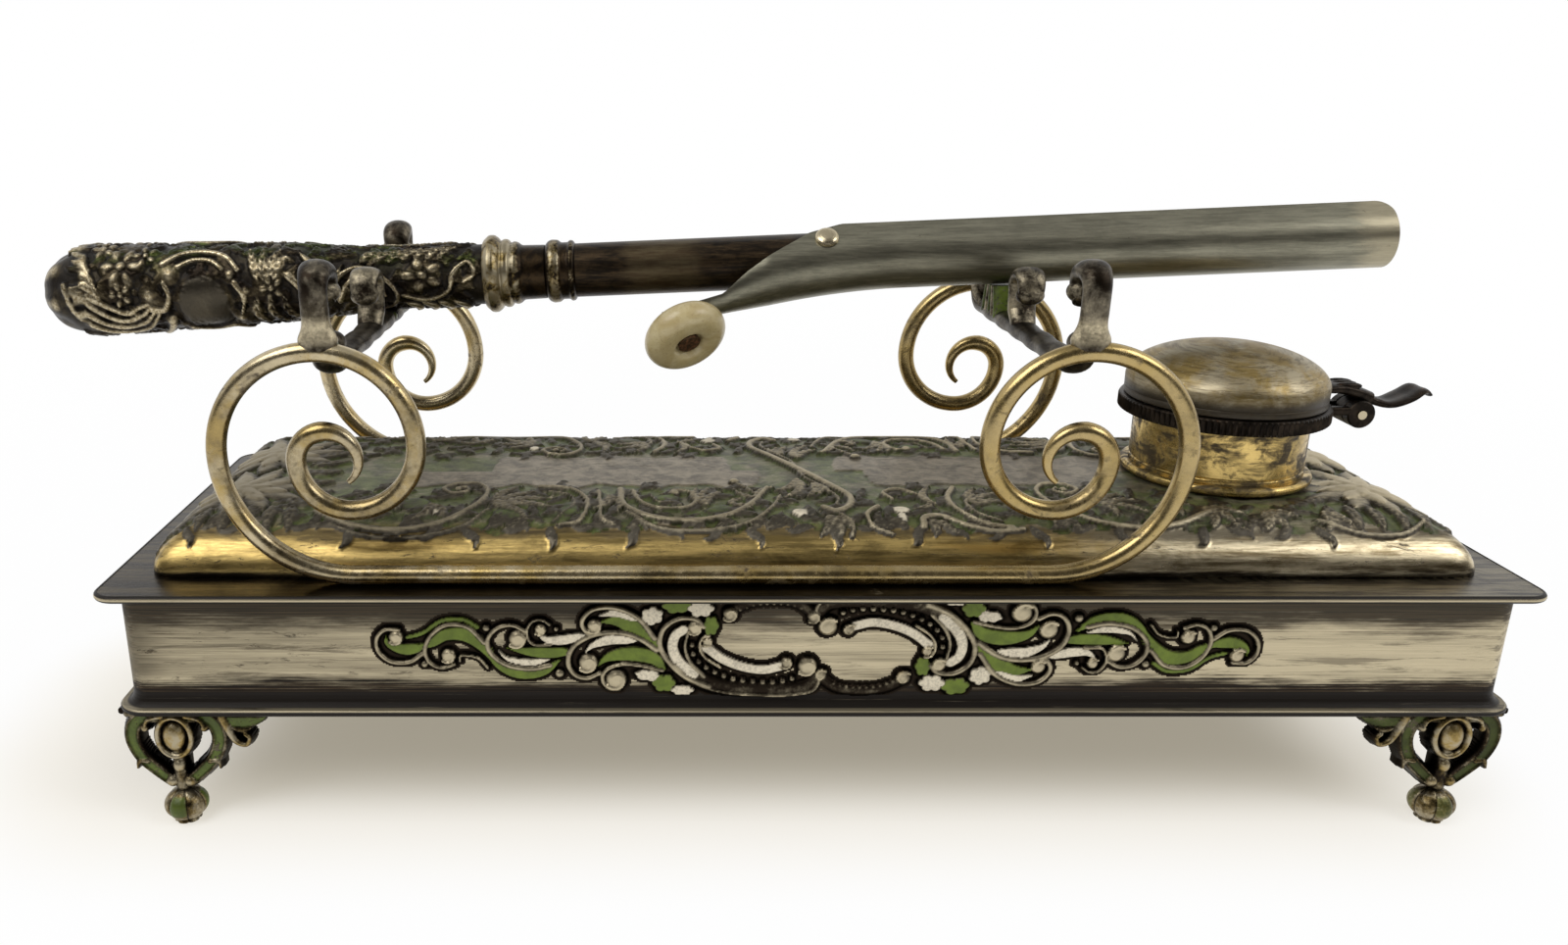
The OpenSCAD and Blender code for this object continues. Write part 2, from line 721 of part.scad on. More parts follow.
// cradle at one end; seat is how high the tongs' underside lies over the wire top
module cradle(x, seat) {
    half = wire_gap / 2;
    hook_end = half - 2 * hook_r;
    post_top = post_h - hook_r - strap_t / 2;
    translate([stand_x + x, 0, wire_top]) {
        difference() {
            rotate([90, 0, 90]) linear_extrude(strap_w, center = true) {
                half_strap();
                mirror([1, 0]) half_strap();
                middle_curl();
                leaf_seat(seat - rest_gap);
            }
            for (y = [-1, 1])
                translate([-x, y * half, bar_z - wire_top]) upright() saddle_cut(sign(x));
        }
        for (y = [-1, 1])
            translate([0, y * (hook_end + 0.3), post_top - 0.6]) sphere(d = ball_d, $fn = 32);
        translate([0, -2.7, curl_h - 5]) sphere(d = ball_d * 0.9, $fn = 32);
    }
}

// leaf that rises from the bar to carry the tongs
module leaf_seat(top) {
    half_w = 3.4;
    polygon([
        [tongs_y - half_w - 1.5, -bar_drop], [tongs_y + half_w + 1.5, -bar_drop],
        [tongs_y + half_w, top], [tongs_y - half_w, top]
    ]);
}

// room for the wire's outer bends under a cradle's post
module saddle_cut(side) {
    mirror([side < 0 ? 1 : 0, 0, 0])
        round_bends(VOLUTE, 3, [stand_half - bend_rise, 0], 0, wire_r);
}

// underside of the tongs over the wire top, at a cradle
function underside(x, r) = axis_z(stand_x + x) - r / cos(tongs_tilt) - wire_top;

module left_cradle() {
    outer = cradle_half + strap_w / 2;
    color("slategray") in_frame()
        cradle(-cradle_half, underside(-outer, handle_r(pivot_x - stand_x + outer) + tiny));
}

module right_cradle() {
    color("slategray") in_frame() cradle(cradle_half, underside(cradle_half - strap_w / 2, jaw_out));
}

// ---- burner -------------------------------------------------------------------------

module burner_foot_ring() {
    color("gold") in_frame() at_burner(dome_top) rotate_extrude()
        polygon(concat(
            [[cup_r + run_clear, 0]],
            [for (i = [0 : 8]) let (a = -90 + 22.5 * i)
                [cup_r + foot_bead_r * (1 + cos(a)), foot_ring_h / 2 * (1 + sin(a))]],
            [[cup_r + run_clear, foot_ring_h]]
        ));
}

module burner_cup() {
    bottom = dome_top - cup_sink;
    color("gold") in_frame() at_burner(bottom) difference() {
        cylinder(r = cup_r, h = cup_top - bottom);
        translate([0, 0, cup_floor]) cylinder(r = cup_r - cup_wall, h = cup_top - bottom);
        translate([0, 0, cup_sink + 2.4]) rotate_extrude()
            translate([cup_r, 0]) circle(0.3, $fn = 16);
    }
}

module knurled_collar() {
    r = collar_d / 2;
    notches = 60;
    skirt = 2;
    color("dimgray") in_frame() {
        difference() {
            at_burner(cup_top) union() {
                cylinder(r = r, h = collar_t);
                translate([0, 0, -skirt]) cylinder(r = cup_r - cup_wall - run_clear, h = skirt + tiny);
                collar_lugs();
            }
            at_burner(cup_top - skirt - 1) cylinder(r = cup_r - 2.2, h = skirt + 1);
            at_burner(cup_top - 1) cylinder(d = wick_tube_d + 2 * run_clear, h = collar_t + 2);
            for (i = [0 : notches - 1])
                at_burner(cup_top) rotate([0, 0, 360 * i / notches + 3])
                    if (abs(((360 * i / notches + 3 + 180) % 360) - 180) > 14)
                        translate([r + 0.25, 0, -tiny]) cylinder(r = 0.55, h = collar_t - 0.5, $fn = 16);
            hinge_bore(hinge_pin_d / 2 + run_clear);
        }
    }
}

// two lugs that reach from the collar to the hinge knuckles
module collar_lugs() {
    lug_y = knuckle_half + run_clear;
    for (side = [-1, 1])
        scale([1, side, 1]) translate([0, lug_y, 0]) {
            translate([collar_d / 2 - 2, 0, 0])
                cube([hinge_reach - collar_d / 2 + 2, lug_w, collar_t - 1.2]);
            translate([hinge_reach, lug_w, hinge_z - cup_top]) rotate([90, 0, 0])
                cylinder(d = knuckle_d, h = lug_w);
        }
}

module hinge_bore(r) {
    at_burner(hinge_z) translate([hinge_reach, 10, 0]) rotate([90, 0, 0])
        cylinder(r = r, h = 20);
}

module lid_hinge_pin() {
    half = knuckle_half + run_clear + lug_w + 0.3;
    color("silver") in_frame() at_burner(hinge_z) translate([hinge_reach, half, 0]) rotate([90, 0, 0])
        cylinder(d = hinge_pin_d, h = 2 * half);
}

module wick_tube() {
    base_flange = 1.5;
    length = wick_tube_depth + collar_t + wick_tube_h;
    color("peru") in_frame() at_burner(cup_top - wick_tube_depth) difference() {
        union() {
            cylinder(d = wick_tube_d, h = length);
            translate([0, 0, wick_tube_depth + collar_t])
                cylinder(d = wick_tube_d + 2 * base_flange, h = 0.8);
        }
        translate([0, 0, -1]) cylinder(d = wick_tube_d - 2 * wick_tube_wall, h = length + 2);
    }
}

module wick() {
    low = wadding_low + wadding_socket;
    color("ivory") in_frame() at_burner(low)
        cylinder(
            d = wick_tube_d - 2 * wick_tube_wall - 2 * run_clear,
            h = collar_top + wick_tube_h + wick_stands_out - low
        );
}

module fuel_wadding() {
    height = 12;
    ease = 0.1;
    color("white") in_frame() at_burner(wadding_low) difference() {
        cylinder(r = cup_r - cup_wall - ease, h = height);
        translate([0, 0, wadding_socket])
            cylinder(d = wick_tube_d - 2 * wick_tube_wall + 2 * ease, h = height);
        translate([0, 0, cup_top - wick_tube_depth - wadding_low - 2 * ease])
            cylinder(d = wick_tube_d + 4 * ease, h = height);
    }
}

module burner_lid() {
    r = lid_d / 2;
    wall = 0.8;
    steps = 8;
    dome = [for (i = [0 : steps]) let (a = 90 * i / steps) [cos(a), sin(a)]];
    color("darkgoldenrod") in_frame() at_burner(collar_top + rest_gap) rotate_extrude()
        polygon(concat(
            [[r - wall, 0], [r, 0]],
            [for (p = dome) [r * p[0], skirt_h + lid_rise * p[1]]],
            [for (i = [steps : -1 : 0]) let (p = dome[i])
                [(r - wall) * p[0], skirt_h + (lid_rise - wall) * p[1]]]
        ));
}

// strap on the lid, knuckle and curled thumb piece in one casting
module thumb_lever() {
    half = knuckle_half;
    strap_h = 1.6;
    lid_r = lid_d / 2;
    tip = [lever_reach, 3.4];
    color("dimgray") in_frame() at_burner(hinge_z) difference() {
        union() {
            translate([hinge_reach, half, 0]) rotate([90, 0, 0]) cylinder(d = knuckle_d, h = 2 * half);
            translate([hinge_reach, half, 0]) rotate([90, 0, 0]) linear_extrude(2 * half) {
                polygon(strip_points(concat(
                    [[lid_r - hinge_reach - 0.4, 4.6]],
                    trail([[9, -34]], [-4.6, 4.6], 0, 12),
                    trail([[8, 62]], [0.6, 2.9], -30, 12)
                ), strap_h, strap_h));
                translate([-3, 1]) square([3, 3]);
            }
            thumb_spoon(tip);
        }
        translate([0, 0, -20]) cylinder(r = lid_r, h = 60);
        translate([hinge_reach, 10, 0]) rotate([90, 0, 0])
            cylinder(r = hinge_pin_d / 2 + run_clear, h = 20);
    }
}

// hollowed pad for the thumb
module thumb_spoon(tip) {
    translate([hinge_reach + tip[0] - 3.4, 0, tip[1]])
        rotate([0, -14, 0]) difference() {
            cylinder(r = 3.3, h = 1.5);
            translate([0, 0, 6.4]) sphere(5.6);
        }
}

// ---- tongs -----------------------------------------------------------------------------

module handle_shell() {
    stations = [for (i = [0 : 12]) ferrule_reach + (handle_reach - pommel_l - ferrule_reach) * i / 12];
    color("gray") in_frame() on_tongs() difference() {
        turned(concat(
            [[ferrule_reach, 0]],
            [for (s = stations) [s, handle_r(s)]],
            [[handle_reach - pommel_l, 0]]
        ));
        rotate([0, -90, 0]) cylinder(d = tang_d + 2 * run_clear, h = handle_reach - pommel_l - 6);
    }
}

module pommel_cap() {
    steps = 8;
    start = handle_reach - pommel_l;
    color("dimgray") in_frame() on_tongs() turned(concat(
        [[start, 0], [start, butt_r + 0.2], [start + 1, butt_r + 0.2]],
        [for (i = [1 : steps]) let (a = 90 * i / steps)
            [start + 1 + (pommel_l - 1) * sin(a), (butt_r - 0.4) * pow(cos(a), 0.8)]]
    ));
}

module handle_ferrule() {
    bore = tang_d / 2 + run_clear;
    a = ferrule_reach;
    b = ferrule_end;
    color("gold") in_frame() on_tongs() turned([
        [a, bore], [a, waist_r + 0.8], [a - 0.4, ferrule_r - 0.6], [a - 1.1, ferrule_r],
        [a - 2.1, ferrule_r], [a - 2.9, ferrule_r - 0.6], [a - 3.3, waist_r + 0.6],
        [a - 3.9, waist_r + 0.9], [a - 4.7, waist_r + 0.8], [a - 5.2, waist_r + 0.2],
        [a - 5.8, waist_r + 0.4], [a - 6.5, waist_r + 0.2], [a - 7.2, waist_r - 0.4],
        [b, waist_r - 0.5], [b, bore]
    ]);
}

module neck_ring() {
    bore = tang_d / 2 + run_clear;
    far = ferrule_end;
    near = far - 1.6 - ring_w;
    color("gold") in_frame() on_tongs() turned([
        [far, bore], [far, waist_r - 0.5], [far - 0.5, ring_r - 0.3], [far - 1.2, ring_r],
        [far - 2.4, ring_r - 0.1], [far - 2.9, ring_r - 0.6], [near + 1.4, ring_r - 0.6],
        [near + 1, ring_r - 0.2], [near + 0.4, ring_r - 0.3], [near, rod_r], [near, bore]
    ]);
}

module tongs_rod() {
    near = ferrule_end - 1.6 - ring_w;
    round_end = 3;
    color("saddlebrown") in_frame() on_tongs() difference() {
        union() {
            turned(concat(
                [[near, 0], [near, rod_r], [round_end - jaw_l, rod_r]],
                [for (i = [1 : 6]) let (a = 15 * i)
                    [round_end - jaw_l - (round_end - 1) * sin(a), rod_r - round_end * (1 - cos(a))]],
                [[1 - jaw_l, 0]]
            ));
            rotate([0, -90, 0]) cylinder(d = tang_d, h = handle_reach - pommel_l - 8);
        }
        rotate([jaw_roll, 0, 0]) rotate([90, 0, 0])
            cylinder(r = pivot_d / 2 + run_clear, h = 4 * rod_r, center = true);
    }
}

module pivot_screw() {
    under_head = jaw_out + run_clear;
    head_h = 1.1;
    color("silver") in_frame() on_tongs(jaw_roll) rotate([90, 0, 0]) {
        cylinder(d = pivot_d, h = 2 * under_head, center = true);
        for (side = [0, 180])
            rotate([side, 0, 0]) translate([0, 0, under_head]) rotate_extrude()
                polygon(concat(
                    [[0, 0], [pivot_head_d / 2, 0]],
                    [for (i = [1 : 6]) [pivot_head_d / 2 * cos(15 * i), 0.2 + (head_h - 0.2) * sin(15 * i)]]
                ));
    }
}

// one side of the channel's section: a half round of radius w with straight cheeks up to high,
// or a shallower arc where high is under the round's centre
function side_points(w, centre, high, n) =
    let (cut = high < centre ? asin((centre - high) / w) : 0)
    [for (k = [0 : n + 2])
        let (a = cut > 0
            ? 180 + cut + (180 - 2 * cut) * k / (n + 2)
            : 180 + 180 * min(max(k - 1, 0), n) / n)
        [w * cos(a), k == 0 || k == n + 2 ? high : centre + w * sin(a)]];

// section of the jaw, a channel open towards +Z, drawn as [y, z]
function channel_points(w, low, high, n = 12) =
    let (inner = side_points(w - jaw_wall, low + w, high, n))
    concat(
        side_points(w, low + w, high, n),
        [for (k = [len(inner) - 1 : -1 : 0]) inner[k]]
    );

// lofts the channel's sections along the lever
module lever_loft() {
    xs = [flare_at, 12, 8, 5, 3, 0, -3, -5.4, -8, -11, -13, -15, -17.3, -19.6, -23, -tail_end];
    sections = [for (x = xs) channel_points(trough_w(x), -jaw_out - flare(x), trough_h(x))];
    n = len(sections[0]);
    last = len(xs) - 1;
    points = [for (i = [0 : last]) for (p = sections[i]) [xs[i], p[0], p[1]]];
    half = n / 2;
    caps = [for (i = [0, last]) for (k = [0 : half - 2]) let (
        a = i * n + k, b = i * n + k + 1, c = i * n + n - 2 - k, d = i * n + n - 1 - k)
        each (i == 0 ? [[c, b, a], [d, c, a]] : [[a, b, c], [a, c, d]])];
    skin = [for (i = [0 : last - 1], k = [0 : n - 1]) let (m = (k + 1) % n)
        each [
            [i * n + k, i * n + m, (i + 1) * n + m],
            [i * n + k, (i + 1) * n + m, (i + 1) * n + k]
        ]];
    polyhedron(points, concat(caps, skin));
}

module tongs_jaw() {
    corner = 3;
    color("darkgray") in_frame() on_tongs(jaw_roll) difference() {
        union() {
            translate([flare_at, 0, 0]) rotate([90, 0, 90]) linear_extrude(jaw_l - flare_at)
                polygon(channel_points(jaw_out, -jaw_out, cheek_h));
            lever_loft();
        }
        rotate([90, 0, 0]) cylinder(r = pivot_d / 2 + run_clear, h = 4 * rod_r, center = true);
        // rounded corners at the open end of the channel
        translate([jaw_l - corner, 0, cheek_h - corner]) rotate([90, 0, 0]) difference() {
            translate([0, 0, -jaw_out - 1]) cube([corner + 1, corner + 1, 2 * jaw_out + 2]);
            cylinder(r = corner, h = 3 * jaw_out, center = true);
        }
        // hole for the button's rivet
        on_lever_end() cylinder(d = rivet_shank + 2 * run_clear, h = 12, center = true);
    }
}

// frame at the end of the thumb lever: origin on its underside, +Z outwards
module on_lever_end() {
    slope = atan(2 * lever_drop / (flare_at + lever_l));
    translate([-lever_l, 0, -jaw_out - lever_drop]) rotate([180, 0, 0]) rotate([0, slope, 0]) children();
}

module pearl_button() {
    r = button_d / 2;
    h = button_t;
    color("beige") in_frame() on_tongs(jaw_roll) on_lever_end() translate([0, 0, tiny]) difference() {
        rotate_extrude() polygon(concat(
            [[0, 0], [2.6, 0]],
            [for (i = [-5 : 5]) [r - h / 2 + h / 2 * cos(15 * i) , h * 0.52 + h * 0.48 * sin(15 * i)]],
            [[rivet_d / 2 + 0.6, h - 0.5], [rivet_d / 2 + 0.1, h - 1.6], [0, h - 1.6]]
        ));
        translate([0, 0, -1]) cylinder(d = rivet_shank + 2 * run_clear, h = h + 2);
    }
}

module button_rivet() {
    color("sienna") in_frame() on_tongs(jaw_roll) on_lever_end() {
        translate([0, 0, -jaw_wall - 1]) cylinder(d = rivet_shank, h = button_t - 1.6 + jaw_wall + 1.1);
        translate([0, 0, button_t - 1.5]) cylinder(d = rivet_d, h = 1);
        translate([0, 0, -jaw_wall - 1.4]) cylinder(d = 3, h = 0.7);
    }
}

// leaf spring between the rod and the thumb lever
module return_spring() {
    t = 0.4;
    w = 3;
    foot = [-4.5, -rod_r - t / 2 - 0.1];
    color("silver") in_frame() on_tongs(jaw_roll) rotate([90, 0, 0])
        linear_extrude(w, center = true)
            polygon(strip_points(
                concat([foot, foot + [-1.5, 0]], trail([[26, 28]], foot + [-1.5, 0], 180, 7)), t, t
            ));
}

// ---- assembly ----------------------------------------------------------------------------

cover_dome();
cover_rim();
casing_band();
base_moulding();
base_plate();
front_ornament();
foot_front_left();
foot_front_right();
foot_rear_left();
foot_rear_right();
front_scroll_wire();
rear_scroll_wire();
left_cradle();
right_cradle();
burner_foot_ring();
burner_cup();
knurled_collar();
wick_tube();
wick();
fuel_wadding();
lid_hinge_pin();
burner_lid();
thumb_lever();
handle_shell();
pommel_cap();
handle_ferrule();
neck_ring();
tongs_rod();
pivot_screw();
return_spring();
tongs_jaw();
pearl_button();
button_rivet();
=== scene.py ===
"""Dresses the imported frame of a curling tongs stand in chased, enamelled, gilt and silvered metal.

Shapes are worked out in millimetres and turned into metres when a piece is made.
"""

import json
import math
import sys

import bmesh
import bpy
import numpy as np
from mathutils import Matrix, Vector
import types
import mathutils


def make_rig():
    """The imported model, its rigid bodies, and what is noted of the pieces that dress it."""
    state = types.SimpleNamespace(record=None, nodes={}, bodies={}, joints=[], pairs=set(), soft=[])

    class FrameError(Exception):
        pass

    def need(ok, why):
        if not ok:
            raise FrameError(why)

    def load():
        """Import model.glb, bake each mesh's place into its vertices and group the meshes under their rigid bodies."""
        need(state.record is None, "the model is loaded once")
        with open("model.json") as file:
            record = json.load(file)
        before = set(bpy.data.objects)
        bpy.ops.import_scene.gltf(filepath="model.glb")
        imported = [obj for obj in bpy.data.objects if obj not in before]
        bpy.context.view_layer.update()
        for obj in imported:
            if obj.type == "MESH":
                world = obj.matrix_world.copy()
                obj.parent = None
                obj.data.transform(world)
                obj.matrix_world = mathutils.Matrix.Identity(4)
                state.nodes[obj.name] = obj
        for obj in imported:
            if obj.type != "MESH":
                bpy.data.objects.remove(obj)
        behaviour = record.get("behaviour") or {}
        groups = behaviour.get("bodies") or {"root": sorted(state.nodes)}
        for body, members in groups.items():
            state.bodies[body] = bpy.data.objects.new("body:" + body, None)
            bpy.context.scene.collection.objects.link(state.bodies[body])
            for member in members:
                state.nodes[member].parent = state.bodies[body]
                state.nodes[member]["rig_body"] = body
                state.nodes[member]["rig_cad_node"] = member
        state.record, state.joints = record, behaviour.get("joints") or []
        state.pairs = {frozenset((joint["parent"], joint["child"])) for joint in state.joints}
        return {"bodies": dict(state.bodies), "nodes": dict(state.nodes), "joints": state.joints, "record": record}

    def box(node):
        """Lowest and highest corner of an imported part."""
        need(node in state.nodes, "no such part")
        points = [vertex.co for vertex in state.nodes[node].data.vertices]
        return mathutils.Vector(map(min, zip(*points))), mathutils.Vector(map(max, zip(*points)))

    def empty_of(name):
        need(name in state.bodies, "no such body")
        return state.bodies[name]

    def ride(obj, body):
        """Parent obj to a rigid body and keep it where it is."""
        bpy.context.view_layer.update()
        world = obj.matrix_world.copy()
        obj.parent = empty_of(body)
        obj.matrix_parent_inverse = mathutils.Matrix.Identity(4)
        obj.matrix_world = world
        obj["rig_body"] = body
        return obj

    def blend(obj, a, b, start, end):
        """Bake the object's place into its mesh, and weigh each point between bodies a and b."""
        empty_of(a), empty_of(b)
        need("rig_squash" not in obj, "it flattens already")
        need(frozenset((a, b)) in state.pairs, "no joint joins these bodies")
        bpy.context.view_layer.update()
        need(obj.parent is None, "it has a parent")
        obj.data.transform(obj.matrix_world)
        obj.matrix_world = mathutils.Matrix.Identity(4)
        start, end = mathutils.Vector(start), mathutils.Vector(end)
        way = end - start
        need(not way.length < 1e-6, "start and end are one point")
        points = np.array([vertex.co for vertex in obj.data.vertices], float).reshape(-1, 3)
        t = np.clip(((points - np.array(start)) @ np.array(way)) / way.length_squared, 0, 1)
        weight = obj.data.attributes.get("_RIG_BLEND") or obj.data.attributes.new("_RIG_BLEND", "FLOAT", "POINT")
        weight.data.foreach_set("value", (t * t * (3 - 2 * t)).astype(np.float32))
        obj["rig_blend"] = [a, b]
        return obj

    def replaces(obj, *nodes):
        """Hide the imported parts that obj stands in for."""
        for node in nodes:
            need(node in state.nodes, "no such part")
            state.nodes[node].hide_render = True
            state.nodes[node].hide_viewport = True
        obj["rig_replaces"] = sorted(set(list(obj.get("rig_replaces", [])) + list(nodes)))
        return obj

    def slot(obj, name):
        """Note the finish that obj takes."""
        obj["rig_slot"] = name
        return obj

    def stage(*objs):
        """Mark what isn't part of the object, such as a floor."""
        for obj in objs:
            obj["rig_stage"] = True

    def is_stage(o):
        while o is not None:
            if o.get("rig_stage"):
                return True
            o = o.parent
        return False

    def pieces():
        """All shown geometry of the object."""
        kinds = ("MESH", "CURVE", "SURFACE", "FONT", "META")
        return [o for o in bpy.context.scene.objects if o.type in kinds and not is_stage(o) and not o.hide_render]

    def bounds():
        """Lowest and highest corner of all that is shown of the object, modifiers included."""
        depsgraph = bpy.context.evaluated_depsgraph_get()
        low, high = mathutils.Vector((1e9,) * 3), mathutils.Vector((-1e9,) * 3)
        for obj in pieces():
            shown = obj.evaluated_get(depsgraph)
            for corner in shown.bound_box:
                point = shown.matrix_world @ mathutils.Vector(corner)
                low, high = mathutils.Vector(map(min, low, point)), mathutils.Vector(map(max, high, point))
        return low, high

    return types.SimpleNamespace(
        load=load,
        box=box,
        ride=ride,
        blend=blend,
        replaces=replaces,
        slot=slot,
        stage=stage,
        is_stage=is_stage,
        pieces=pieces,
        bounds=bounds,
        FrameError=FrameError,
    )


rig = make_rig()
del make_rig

bl_info = {
    "name": "Curling Tongs Stand",
    "version": (1, 0, 0),
    "blender": (4, 5, 0),
    "location": "View3D > Sidebar > Tongs Stand",
    "description": "Chased, enamelled and worn surfaces for a curling tongs stand",
    "category": "Object",
}

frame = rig.load()
CAD_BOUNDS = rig.bounds()
MM = 0.001


# ---------------------------------------------------------------- places from the frame


def span(node):
    """Lowest and highest corner of a frame node, in millimetres."""
    low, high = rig.box(node)
    return np.array(low) / MM, np.array(high) / MM


def middle(node):
    """Middle of a frame node's box."""
    low, high = span(node)
    return (low + high) / 2


def size(node):
    """Sides of a frame node's box."""
    low, high = span(node)
    return high - low


def joint(name):
    """Place in millimetres and axis of a joint."""
    found = next(j for j in frame["joints"] if j["name"] == name)
    return np.array(found["pos_m"]) / MM, np.array(found["axis"], float)


CASKET_X = float(middle("casing_band")[0])
FLANGE_T = 1.1
DECK_Z = float(span("casing_band")[1][2]) + FLANGE_T
WALL_HALF = float(size("casing_band")[1]) / 2
WALL_LONG = float(size("casing_band")[0]) / 2
BURNER_X = float(middle("burner_cup")[0])
CUP_TOP = float(span("burner_cup")[1][2])
HINGE, _ = joint("lid_hinge")
PIVOT, JAW_AXIS = joint("jaw_open")
TILT = math.atan2(JAW_AXIS[0], -JAW_AXIS[2])
JAW_ROLL = -math.acos(JAW_AXIS[1])
WIRE_TOP = float(span("front_scroll_wire")[1][2])
WIRE_Y = float(middle("rear_scroll_wire")[1])
FOOT_H = float(span("casing_band")[0][2]) - FLANGE_T
TONGS = Matrix.Translation(Vector(PIVOT)) @ Matrix.Rotation(-TILT, 4, "Y")
JAW = TONGS @ Matrix.Rotation(JAW_ROLL, 4, "X")

# the tongs: rod, jaw and thumb lever, and the room between jaw and cradle
ROD_R = 5.0
JAW_OUT, JAW_WALL, JAW_L, CHEEK_H = 5.85, 0.65, 104.4, 3.4
LEVER_L, LEVER_DROP, FLARE_AT = 28.0, 8.0, 16.0
JAW_GAP = 0.3


# ---------------------------------------------------------------- shader maths


class Value:
    """An output socket; arithmetic on it adds Math nodes to its finish."""

    def __init__(self, finish, socket):
        self.finish = finish
        self.socket = socket

    def _math(self, operation, *values):
        return self.finish.add("ShaderNodeMath", {"operation": operation}, dict(enumerate(values)))

    def __add__(self, other):
        return self._math("ADD", self, other)

    __radd__ = __add__

    def __mul__(self, other):
        return self._math("MULTIPLY", self, other)

    __rmul__ = __mul__

    def __sub__(self, other):
        return self._math("SUBTRACT", self, other)

    def __rsub__(self, other):
        return self._math("SUBTRACT", other, self)

    def __pow__(self, other):
        return self._math("POWER", self, other)

    def __rpow__(self, other):
        return self._math("POWER", other, self)

    def larger(self, other):
        return self._math("MAXIMUM", self, other)

    def size(self):
        return self._math("ABSOLUTE", self)

    def rise(self, low, high):
        """0 below low, 1 above high and smooth between; low may be the larger."""
        ends = {1: low, 2: high} if low < high else {1: high, 2: low, 3: 1.0, 4: 0.0}
        settings = {"interpolation_type": "SMOOTHSTEP"}
        return self.finish.add("ShaderNodeMapRange", settings, {0: self, **ends})


class Finish:
    """The nodes of a material or of the world, built from empty."""

    def __init__(self, owner):
        self.owner = owner
        owner.use_nodes = True
        self.tree = owner.node_tree
        self.tree.nodes.clear()

    def add(self, kind, settings=None, inputs=None, out=0):
        """Any node: its settings first, then the values or links of its sockets."""
        node = self.tree.nodes.new(kind)
        for key, value in (settings or {}).items():
            setattr(node, key, value)
        for key, value in (inputs or {}).items():
            if isinstance(value, Value):
                self.tree.links.new(value.socket, node.inputs[key])
            elif isinstance(value, tuple) and len(value) == 3 and node.inputs[key].type == "RGBA":
                node.inputs[key].default_value = (*value, 1)
            else:
                node.inputs[key].default_value = value
        return Value(self, node.outputs[out]) if len(node.outputs) else None

    def place(self, x=1.0, y=1.0, z=1.0):
        """Object coordinates in millimetres, stretched along each axis."""
        coords = self.add("ShaderNodeTexCoord", out=3)
        stretch = (x / MM, y / MM, z / MM)
        return self.add("ShaderNodeVectorMath", {"operation": "MULTIPLY"}, {0: coords, 1: stretch})

    def axis(self, name):
        """One object coordinate in millimetres."""
        return self.add("ShaderNodeSeparateXYZ", None, {0: self.place()}, "XYZ".index(name))

    def noise(self, place, scale, detail, rough=0.55, bend=0.0):
        """Noise at a place, by its scale, detail, roughness and distortion."""
        sockets = ("Vector", "Scale", "Detail", "Roughness", "Distortion")
        values = (place, scale, detail, rough, bend)
        return self.add("ShaderNodeTexNoise", None, dict(zip(sockets, values)))

    def mix(self, share, first, second):
        """Colour between first and second."""
        sockets = {0: share, 6: first, 7: second}
        return self.add("ShaderNodeMix", {"data_type": "RGBA"}, sockets, 2)

    def chasing(self):
        """Raised, green, cream and hollow shares that a chased piece carries."""
        node = {"attribute_name": "chasing", "attribute_type": "GEOMETRY"}
        colour = self.add("ShaderNodeAttribute", node, None, 0)
        parts = [self.add("ShaderNodeSeparateColor", None, {0: colour}, i) for i in range(3)]
        return (*parts, self.add("ShaderNodeAttribute", node, None, 3))

    def surface(self, colour, rough, metal, height, depth, coat=0.0, **fixed):
        """Closes the material; height is bumped by depth millimetres, fixed names plain sockets."""
        bump = {"Strength": 1.0, "Distance": depth * MM, "Height": height}
        inputs = {"Base Color": colour, "Roughness": rough, "Metallic": metal, "Coat Weight": coat}
        inputs["Normal"] = self.add("ShaderNodeBump", None, bump)
        inputs.update({key.replace("_", " "): value for key, value in fixed.items()})
        shader = self.add("ShaderNodeBsdfPrincipled", None, inputs)
        self.add("ShaderNodeOutputMaterial", None, {0: shader})
        return self.owner


FINISHES = {}


def finish(name):
    """The material that a maker function of that name builds, made once."""
    if name not in FINISHES:
        made = Finish(bpy.data.materials.new(name))
        FINISHES[name] = globals()[name](made, bpy.context.scene.stand_finish)
    return FINISHES[name]


def tone(colour, by):
    """A colour made lighter or darker by a plain factor."""
    return tuple(min(1.0, c * by) for c in colour[:3])


def worn_metal(f, bright, deep, dirt, grain, wear, spots, rough, dulled, depth):
    """Metal with a brushed grain, two tones of plate, and brown-black tarnish in patches.

    Wear shifts the tones, spots the share of tarnish; dulled is how unmetallic the tarnish looks.
    """
    broad = f.noise(f.place(), 0.045, 5, 0.6, 0.4)
    fine = f.noise(f.place(*grain), 1.0, 6, 0.65)
    pits = f.noise(f.place(), 1.3, 6, 0.7)
    blotch = f.noise(f.place(1, 1.6, 1.6), 0.16, 8, 0.68, 0.8)
    plate = (broad * 0.65 + fine * 0.35).rise(wear - 0.12, wear + 0.16)
    tarnish = (blotch * 0.75 + fine * 0.25).rise(0.72 - 0.25 * spots, 0.86 - 0.25 * spots)
    specks = pits.rise(0.66, 0.74) * 0.7
    dark = tarnish.larger(specks)
    colour = f.mix(plate, deep, bright)
    colour = f.mix((fine - 0.5) * 0.5 + 0.25, colour, deep)
    colour = f.mix(dark * 0.92, colour, dirt)
    height = fine * 0.5 - pits * 0.35 - dark * 0.25
    return f.surface(colour, rough + fine * 0.16 + dark * 0.3, 1.0 - dark * dulled, height, depth)


# ---------------------------------------------------------------- finishes


